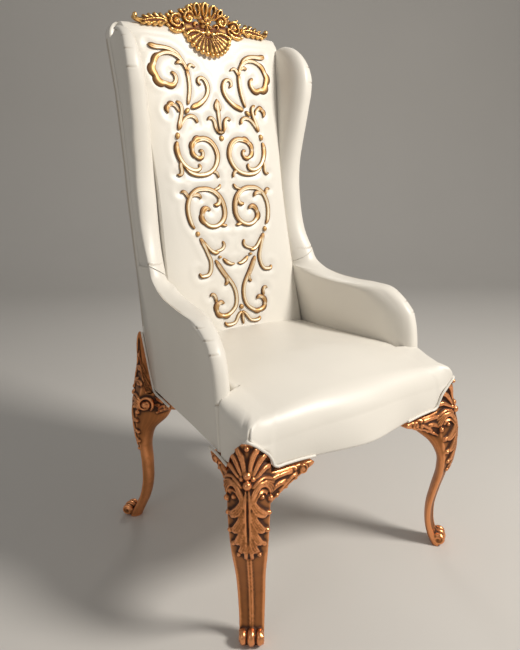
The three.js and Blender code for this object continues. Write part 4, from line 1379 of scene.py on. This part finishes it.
def crest_part():
    """Both sides, then the flower, the shell below it and the rib that ties them together"""
    parts = []
    wide, carved = crest_strokes()
    for side in (-1, 1):
        def face(x, z, proud, side=side):
            return on_crest(side * x, z, proud)
        for rows, width, height, sunk in wide:
            parts.append(surface_stroke(face, rows, width, height, sunk, 2.5, 12))
        for rows, width, height in carved:
            sunk = 9 if rows[0][1] > SHELL_TOP else 4
            parts.append(surface_stroke(face, rows, width, height, sunk, 1.8))
        for x, z, proud, radius in CREST_BALLS:
            parts.append(ball(face(x, z, proud), radius))
    for turn in np.arange(6) * math.pi / 3 + 0.52:
        petal = [(reach * math.cos(turn), FLOWER + reach * math.sin(turn), size)
                 for reach, size in ((5, 0.6), (12, 1.0), (19, 0.6))]
        parts.append(surface_stroke(on_crest, petal, 5.8, 12, 9, 1.8))
    for x, z, proud, radius in MIDDLE_BALLS:
        parts.append(ball(on_crest(x, z, proud), radius))
    for rows in crest_flutes():
        ridge = [(0.86 * x, mix(SHELL_TOP, z, 0.86), 0.8) for x, z, _ in rows]
        parts.append(surface_stroke(on_crest, rows, 6.6, 7.5, 4, 1.8))
        parts.append(surface_stroke(on_crest, ridge, 1.8, 9.5))
        parts.append(ball(on_crest(*rows[-1][:2], 3), 6.2))
    parts.append(surface_stroke(on_crest, [(0, 1240, 1), (0, 1262, 1), (0, 1284, 1)], 7, 1, 15, 2.5, 12))
    return gathered(parts)


class MESH_OT_throne_crest(bpy.types.Operator):
    """Carve the crest: end leaves, snail volutes, a flower, pierced loops and a shell that hangs below"""
    bl_idname = "mesh.throne_crest"
    bl_label = "Crest"

    def execute(self, context):
        carving = context.scene.throne_carving
        colours = (carving.crest_gold, carving.crest_shade_and_patina)
        gilt = material("crest_gilt", gilt_finish, "crest_gilt", *colours, CREST_SHINE)
        piece = grown_together("carved_crest", crest_part(), gilt, carving.grain / MM * 0.85)
        dress(piece, "yellow_gold", "crest")
        return {"FINISHED"}


# The scrollwork: strokes of across, height and half width on the inside back

SCROLLS = {
    "scroll_crown": [
        [(74, 1150, 5), (80, 1165, 5), (92, 1180, 5.5), (108, 1188, 5.5), (122, 1189, 5), (138, 1185, 5),
         (151, 1176, 5.5), (159, 1163, 6), (165, 1149, 8), (160, 1136, 7.5), (155, 1124, 8),
         (146, 1118, 7.5), (136, 1117, 6), (124, 1114, 6), (112, 1119, 6), (107, 1130, 5.5),
         (110, 1140, 5), (119, 1145, 3)],
        [(86, 1176, 4), (96, 1188, 5.5), (112, 1197, 5.5), (130, 1200, 5.5), (148, 1200, 6.5),
         (160, 1202, 7), (168, 1204, 3.5)],
        [(84, 1070, 2.5), (81, 1080, 4.5), (76, 1098, 5), (73, 1118, 5), (73, 1136, 5), (75, 1152, 5)],
        [(80, 1160, 3), (86, 1169, 4.5), (95, 1170, 5), (103, 1165, 3)],
        [(74, 1148, 3), (70, 1160, 5), (64, 1166, 4), (57, 1164, 3), (50, 1159, 1.5)],
    ],
    "comma": [
        [(41, 1118, 2), (48, 1123, 4), (49, 1131, 4), (42, 1137, 4), (32, 1135, 5), (25, 1126, 6),
         (22, 1112, 6), (25, 1100, 5.5), (32, 1089, 5.5), (43, 1079, 6.5), (56, 1071, 7.5),
         (67, 1067, 7.5), (77, 1062, 3)],
    ],
    "palm": [
        [(118, 1010, 3), (114, 1020, 6.5), (109, 1036, 5.5), (104, 1052, 5), (103, 1066, 5),
         (108, 1075, 4.5), (116, 1077, 2.5)],
        [(110, 1052, 3), (118, 1066, 4), (128, 1071, 4.5), (137, 1066, 5), (142, 1056, 4.5),
         (139, 1048, 2.5)],
        [(115, 1014, 4), (108, 1026, 4.5), (100, 1036, 4.5), (90, 1043, 4.5), (78, 1045, 5),
         (68, 1040, 5), (63, 1028, 3.5)],
    ],
    "spiral": [
        [(126, 985, 3), (129, 974, 6.5), (129, 962, 7.5), (126, 948, 7), (118, 933, 6.5), (107, 922, 6.5),
         (94, 916, 6), (82, 915, 5.5), (73, 919, 5), (70, 926, 4), (75, 931, 2.5)],
        [(114, 924, 3), (102, 911, 5), (86, 905, 5.5), (70, 904, 6), (54, 906, 6), (40, 912, 6),
         (28, 923, 6), (20, 937, 6.5), (17, 951, 7), (20, 966, 7), (27, 979, 7), (38, 988, 7),
         (51, 992, 6.5), (66, 990, 6.5), (79, 984, 6), (87, 973, 5.5), (88, 961, 5), (82, 950, 5),
         (72, 945, 4.5), (62, 948, 4.5), (58, 957, 4.5), (64, 964, 4.5), (69, 960, 2.5)],
        [(122, 942, 2.5), (124, 924, 4.5), (123, 910, 5), (129, 904, 4.5), (137, 907, 2)],
        [(42, 912, 3), (32, 913, 4), (24, 907, 4), (21, 896, 2.5)],
    ],
    "lower_scroll": [
        [(108, 775, 3), (115, 786, 5.5), (119, 800, 6), (121, 815, 6), (120, 830, 6), (116, 843, 6),
         (109, 855, 6), (99, 864, 6), (87, 870, 6), (74, 871, 6), (61, 871, 6), (49, 868, 6),
         (38, 862, 6.5), (28, 853, 7), (20, 840, 7), (16, 824, 7), (16, 808, 7), (21, 795, 7),
         (31, 785, 6.5), (44, 779, 6), (57, 778, 6), (69, 782, 6), (79, 791, 6), (84, 802, 6),
         (81, 813, 5.5), (74, 821, 5.5), (65, 824, 5), (57, 817, 2.5)],
        [(112, 851, 3), (103, 857, 4.5), (93, 858, 5), (84, 856, 5), (79, 847, 3)],
        [(30, 857, 4), (27, 845, 5), (30, 834, 6), (38, 830, 6), (46, 832, 3)],
        [(42, 866, 3), (31, 870, 4), (23, 873, 4.5), (20, 882, 2)],
        [(114, 849, 4), (119, 859, 5), (126, 867, 4.5), (134, 864, 2)],
        [(32, 783, 4), (22, 779, 4.5), (13, 779, 3)],
    ],
    "branch": [
        [(97, 753, 2.5), (91, 743, 6.5), (85, 727, 5), (79, 710, 5), (74, 695, 5.5), (75, 680, 5.5),
         (79, 668, 5.5), (87, 660, 5.5), (97, 659, 5), (107, 659, 5), (110, 668, 2.5)],
        [(89, 744, 4), (78, 729, 4.5), (68, 718, 5), (57, 713, 6), (47, 714, 3)],
        [(60, 716, 3), (46, 718, 4), (35, 722, 4.5), (29, 731, 4.5), (33, 741, 2.5)],
    ],
    "long_scroll": [
        [(61, 696, 3), (54, 684, 6.5), (46, 670, 7), (37, 656, 7), (28, 645, 6), (19, 632, 5.5),
         (13, 617, 5.5), (11, 603, 5.5), (12, 588, 5.5), (17, 574, 5.5), (27, 564, 5.5), (39, 557, 5.5),
         (52, 555, 5.5), (65, 558, 5.5), (74, 567, 5.5), (74, 579, 5.5), (67, 588, 5.5), (57, 591, 5),
         (50, 584, 2.5)],
        [(37, 658, 5), (33, 646, 5.5), (34, 637, 5.5), (41, 631, 3.5)],
        [(73, 590, 4), (73, 602, 5), (78, 612, 4.5), (86, 613, 2.5), (88, 607, 1.5)],
    ],
    "small_leaf": [
        [(38, 698, 3), (31, 690, 6), (21, 684, 5.5), (11, 681, 4), (4, 683, 1.5)],
    ],
}
# Strokes with lobes on the outer side: the stroke's place in its list, then start, end and count
LOBED = {
    "scroll_crown": {0: (0.38, 0.86, 4)},
    "spiral": {1: (0.66, 0.93, 4)},
    "lower_scroll": {0: (0.84, 0.97, 2)},
    "long_scroll": {0: (0.66, 0.92, 3)},
    "palm": {1: (0.4, 0.9, 2)},
}
# Beads: across, height, half width, half length and tilt
BEADS = {
    "bead_upper": (89, 1056, 5.5, 9, 0.75), "bead_shoulder": (123, 997, 6, 8, 0.2),
    "bead_waist": (102, 763, 6, 6.5, 0), "bead_branch": (47, 702, 5, 3.8, 0),
}
MIDDLE_BEADS = {"fleur_bead": (0, 993, 7, 7, 0), "palmette_bead": (0, 571, 6.5, 6.5, 0)}
FLEUR = [
    [(0, 1010, 3), (0, 1030, 4.5), (0, 1048, 5.5), (0, 1064, 5), (0, 1078, 4.5), (0, 1089, 1.5)],
    [(8, 1008, 3), (13, 1020, 5.5), (14, 1032, 5), (20, 1041, 4.5), (28, 1043, 4), (34, 1036, 2)],
    [(4, 1058, 2.5), (8, 1069, 3.5), (2, 1085, 2)],
    [(-12, 1009, 3), (0, 1006, 5), (12, 1009, 3)],
]
PALMETTE = [
    [(0, 558, 2.5), (0, 548, 5), (0, 536, 4.5), (0, 525, 1.5)],
    [(0, 559, 3), (9, 553, 4.5), (16, 543, 4.5), (24, 533, 4.5), (34, 530, 4.5), (45, 530, 5.5),
     (53, 532, 5), (54, 539, 2.5)],
]


def every_stroke():
    for strokes in [*SCROLLS.values(), FLEUR, PALMETTE]:
        for rows in strokes:
            yield curve_through(rows, max(4, int(length_of(rows) / 3))), rows


def on_panel(x, z, proud):
    return np.array([x, float(panel_front(x, z)) - 0.4 - proud, z])


def scroll_stroke(rows, side, rise, lobes=None):
    """One raised stroke, its ends rounded, with where each spot lies across it and how gilded it is

    Its outer side may be lobed between two shares of its length, like the edge of a leaf."""
    line = curve_through(rows, max(12, int(length_of(rows) / 1.6)))
    for _ in range(8):
        line[1:-1] = 0.25 * line[:-2] + 0.5 * line[1:-1] + 0.25 * line[2:]
    line[:, 0] *= side
    ahead = np.gradient(line[:, :2], axis=0)
    ahead /= np.maximum(np.linalg.norm(ahead, axis=1), 1e-6)[:, None]
    bend = np.cross(ahead[:-1], ahead[1:])
    outer = 1.0 if bend.sum() >= 0 else -1.0
    along = np.concatenate([[0], np.cumsum(np.linalg.norm(np.diff(line[:, :2], axis=0), axis=1))])
    total = along[-1]
    section = [
        (-1, 0.0), (-0.97, 0.45), (-0.86, 0.8), (-0.66, 0.86), (-0.5, 0.7), (-0.25, 0.86), (0, 0.98),
        (0.3, 1.0), (0.55, 0.86), (0.72, 0.62), (0.86, 0.66), (0.96, 0.4), (1, 0.0),
    ]
    rings, across, gilded = [], [], []
    for (u, z, half), (to_u, to_z), at in zip(line, ahead, along):
        tip = min(at, total - at) / max(half, 1e-6)
        size = math.sqrt(max(0.02, 1 - max(0.0, 1 - tip) ** 2))
        lobe = leaf_lobe(at / total, *lobes) if lobes else 0.0
        ring = []
        for part, height in section:
            aside = part * half * size * outer * (1 + lobe if part > 0 else 1)
            proud = rise * height * size * min(1.0, 0.55 + half / 12)
            ring.append(on_panel(u + to_z * aside, z - to_u * aside, proud))
            across.append(0.5 - 0.5 * part)
            solid = max(1.6 * lobe, smooth_step(half, 6.4, 7.6), 1 - smooth_step(tip, 1.2, 3.2))
            gilded.append(min(1.0, float(solid)))
        rings.append(ring)
    spots, faces = skin(rings)
    across += [0.5, 0.5]
    gilded += [1.0, 1.0]
    return (spots, faces), across, gilded


def leaf_lobe(share, start, end, count):
    """How far the outer side swells at a share of the stroke's length"""
    if not start < share < end:
        return 0.0
    return 0.75 * abs(math.sin(math.pi * count * (share - start) / (end - start))) ** 0.7


def scroll_bead(side, u, z, half_width, half_length, tilt, rise):
    rings, across = [], []
    for share, height in ((1.0, 0.0), (0.97, 0.5), (0.86, 0.85), (0.6, 1.1), (0.3, 1.2)):
        ring = []
        for turn in np.linspace(0, 2 * math.pi, 24, endpoint=False):
            a, b = share * half_width * math.cos(turn), share * half_length * math.sin(turn)
            du = a * math.cos(tilt) - b * math.sin(tilt)
            dz = a * math.sin(tilt) + b * math.cos(tilt)
            ring.append(on_panel(side * (u + du), z + dz, rise * height))
            across.append(1.0 - 0.45 * height)
        rings.append(ring)
    spots, faces = skin(rings)
    return (spots, faces), [*across, 1.0, 0.4], [1.0] * len(spots)


class ThroneScrollwork(bpy.types.PropertyGroup):
    rise: bpy.props.FloatProperty(
        name="Rise", description="How far the scrolls stand proud of the leather", subtype="DISTANCE",
        unit="LENGTH", default=0.005, min=0.001, max=0.02,
    )
    gold: bpy.props.FloatVectorProperty(
        name="Gold", description="Colour of the gilt side of a scroll", subtype="COLOR",
        default=(0.43, 0.25, 0.095), min=0, max=1,
    )
    cream: bpy.props.FloatVectorProperty(
        name="Cream", description="Colour along the middle of a scroll", subtype="COLOR",
        default=(0.82, 0.72, 0.53), min=0, max=1,
    )
    edge: bpy.props.FloatVectorProperty(
        name="Edge", description="Colour of the line round a scroll", subtype="COLOR",
        default=(0.105, 0.043, 0.014), min=0, max=1,
    )


def sew_on(name, pieces, gilt):
    part = gathered([piece[0] for piece in pieces])
    motif = build(f"gilt_{name}", part, gilt)
    mark(motif.data, "across", np.concatenate([piece[1] for piece in pieces]))
    mark(motif.data, "gilded", np.concatenate([piece[2] for piece in pieces]))
    dress(motif, "scroll_gold", name)


class MESH_OT_throne_scrollwork(bpy.types.Operator):
    """Sew the raised gilt scrolls, beads, fleur and palmette on the inside back"""
    bl_idname = "mesh.throne_scrollwork"
    bl_label = "Scrollwork"

    def execute(self, context):
        scrollwork = context.scene.throne_scrollwork
        gilt = material("scroll_gilt", scroll_finish, scrollwork)
        rise = scrollwork.rise / MM
        for side, hand in ((1, "left"), (-1, "right")):
            for name, strokes in SCROLLS.items():
                lobes = LOBED.get(name, {})
                pieces = []
                for index, rows in enumerate(strokes):
                    pieces.append(scroll_stroke(rows, side, rise, lobes.get(index)))
                sew_on(f"{name}_{hand}", pieces, gilt)
            for name, bead in BEADS.items():
                sew_on(f"{name}_{hand}", [scroll_bead(side, *bead, rise)], gilt)
        for name, bead in MIDDLE_BEADS.items():
            sew_on(name, [scroll_bead(1, *bead, rise)], gilt)
        for name, strokes in (("fleur", FLEUR), ("palmette", PALMETTE)):
            pieces = []
            for rows in strokes:
                upright = not rows[0][0] and not rows[2][0]
                for side in (1,) if upright else (1, -1):
                    pieces.append(scroll_stroke(rows, side, rise))
            sew_on(name, pieces, gilt)
        return {"FINISHED"}


# The stage

class ThroneStage(bpy.types.PropertyGroup):
    floor_colour: bpy.props.FloatVectorProperty(
        name="Floor colour", description="Colour of the plain floor", subtype="COLOR",
        default=(0.62, 0.6, 0.57), min=0, max=1,
    )
    key_power: bpy.props.FloatProperty(
        name="Key light", description="Power of the main soft light in watts", default=125, min=0,
    )
    fill_power: bpy.props.FloatProperty(
        name="Fill light", description="Power of the weak light from the side in watts", default=6, min=0,
    )
    sky: bpy.props.FloatProperty(
        name="Room light", description="Strength of the even light from all round", default=0.26, min=0,
    )


def area_light(name, spot, target, size, power, colour):
    light = bpy.data.lights.new(name, "AREA")
    light.shape = "DISK"
    light.size = size
    light.energy = power
    light.color = colour
    lamp = bpy.data.objects.new(name, light)
    lamp.location = spot
    lamp.rotation_euler = (Vector(target) - Vector(spot)).to_track_quat("-Z", "Y").to_euler()
    bpy.context.scene.collection.objects.link(lamp)


def floor_finish(stage):
    finish = Finish("pale_floor")
    colour = tuple(stage.floor_colour)
    tone = finish.noise(1.4, 3.0)
    finish.set(Base_Color=finish.blend((*colour, 1), (*dimmed(colour, 0.95), 1), tone))
    finish.set(Roughness=0.75 + 0.08 * tone)
    return finish.material


def add_floor(stage):
    """A floor, in metres, that turns up into a wall well behind the throne"""
    bend, radius, half_width = 3.2, 1.6, 7.0
    profile = [(-4.5, 0.0), (0, 0.0), (bend, 0.0)]
    for turn in np.linspace(0.1, math.pi / 2, 16):
        profile.append((bend + radius * math.sin(turn), radius - radius * math.cos(turn)))
    profile.append((bend + radius, 6.0))
    spots = [(x, y, z) for y, z in profile for x in (-half_width, half_width)]
    faces = [(2 * i, 2 * i + 1, 2 * i + 3, 2 * i + 2) for i in range(len(profile) - 1)]
    mesh = bpy.data.meshes.new("floor")
    mesh.from_pydata(spots, [], faces)
    mesh.shade_smooth()
    floor = bpy.data.objects.new("floor", mesh)
    floor.rotation_euler = (0, 0, -math.radians(35))
    bpy.context.scene.collection.objects.link(floor)
    mesh.materials.append(floor_finish(stage))


def add_camera():
    """The camera of the photograph"""
    yaw, pitch, roll = 0.6117, -0.2537, -0.0167
    ahead = Vector((math.sin(yaw) * math.cos(pitch), math.cos(yaw) * math.cos(pitch), math.sin(pitch)))
    level = Vector((math.cos(yaw), -math.sin(yaw), 0))
    upright = level.cross(ahead)
    right = level * math.cos(roll) + upright * math.sin(roll)
    up = upright * math.cos(roll) - level * math.sin(roll)
    lens = bpy.data.cameras.new("camera")
    lens.lens = 32.84
    lens.sensor_width = 36
    lens.sensor_fit = "AUTO"
    lens.clip_start = 0.01
    camera = bpy.data.objects.new("camera", lens)
    place = Matrix((right, up, -ahead)).transposed().to_4x4()
    place.translation = (-0.8275, -1.1197, 0.9109)
    camera.matrix_world = place
    bpy.context.scene.collection.objects.link(camera)
    bpy.context.scene.camera = camera


class SCENE_OT_throne_stage(bpy.types.Operator):
    """Set the plain floor, the soft lights and the camera"""
    bl_idname = "scene.throne_stage"
    bl_label = "Stage"

    def execute(self, context):
        stage = context.scene.throne_stage
        add_floor(stage)
        add_camera()
        area_light("key", (1.5, -2.3, 2.8), (0, 0, 0.7), 0.9, stage.key_power, (1.0, 0.95, 0.88))
        area_light("fill", (-2.6, -0.9, 1.5), (0, 0, 0.6), 1.6, stage.fill_power, (1.0, 0.95, 0.9))
        area_light("rim", (1.6, 2.3, 2.1), (0, 0, 0.9), 0.9, stage.fill_power * 1.6, (1.0, 0.97, 0.93))
        context.scene.view_settings.view_transform = "Standard"
        world = bpy.data.worlds.new("room")
        world.use_nodes = True
        light = world.node_tree.nodes["Background"]
        light.inputs["Color"].default_value = (0.95, 0.93, 0.9, 1)
        light.inputs["Strength"].default_value = stage.sky
        context.scene.world = world
        return {"FINISHED"}


# The add-on

PIECES = (
    MESH_OT_throne_back, MESH_OT_throne_wings, MESH_OT_throne_arms, MESH_OT_throne_seat, MESH_OT_throne_welts,
    MESH_OT_throne_front_legs, MESH_OT_throne_rear_legs, MESH_OT_throne_crest, MESH_OT_throne_scrollwork,
    SCENE_OT_throne_stage,
)
SETTINGS = {
    "throne_upholstery": ThroneUpholstery, "throne_carving": ThroneCarving,
    "throne_scrollwork": ThroneScrollwork, "throne_stage": ThroneStage,
}


class VIEW3D_PT_throne(bpy.types.Panel):
    """Lists the pieces of the throne and their settings"""
    bl_idname = "VIEW3D_PT_throne"
    bl_label = "Throne"
    bl_space_type = "VIEW_3D"
    bl_region_type = "UI"
    bl_category = "Throne"

    def draw(self, context):
        for piece in PIECES:
            self.layout.operator(piece.bl_idname)
        for name, group in SETTINGS.items():
            box = self.layout.box()
            box.label(text=name.replace("_", " ").capitalize())
            for setting in group.__annotations__:
                box.prop(getattr(context.scene, name), setting)


def register():
    for group in SETTINGS.values():
        bpy.utils.register_class(group)
    for name, group in SETTINGS.items():
        setattr(bpy.types.Scene, name, bpy.props.PointerProperty(type=group))
    for piece in PIECES:
        bpy.utils.register_class(piece)
    bpy.utils.register_class(VIEW3D_PT_throne)


def unregister():
    bpy.utils.unregister_class(VIEW3D_PT_throne)
    for piece in reversed(PIECES):
        bpy.utils.unregister_class(piece)
    for name, group in reversed(SETTINGS.items()):
        delattr(bpy.types.Scene, name)
        bpy.utils.unregister_class(group)


def main():
    register()
    bpy.ops.scene.throne_stage()
    bpy.ops.mesh.throne_back()
    bpy.ops.mesh.throne_wings()
    bpy.ops.mesh.throne_arms()
    bpy.ops.mesh.throne_seat()
    bpy.ops.mesh.throne_welts()
    bpy.ops.mesh.throne_front_legs()
    bpy.ops.mesh.throne_rear_legs()
    bpy.ops.mesh.throne_crest()
    bpy.ops.mesh.throne_scrollwork()


if __name__ == "__main__":
    main()
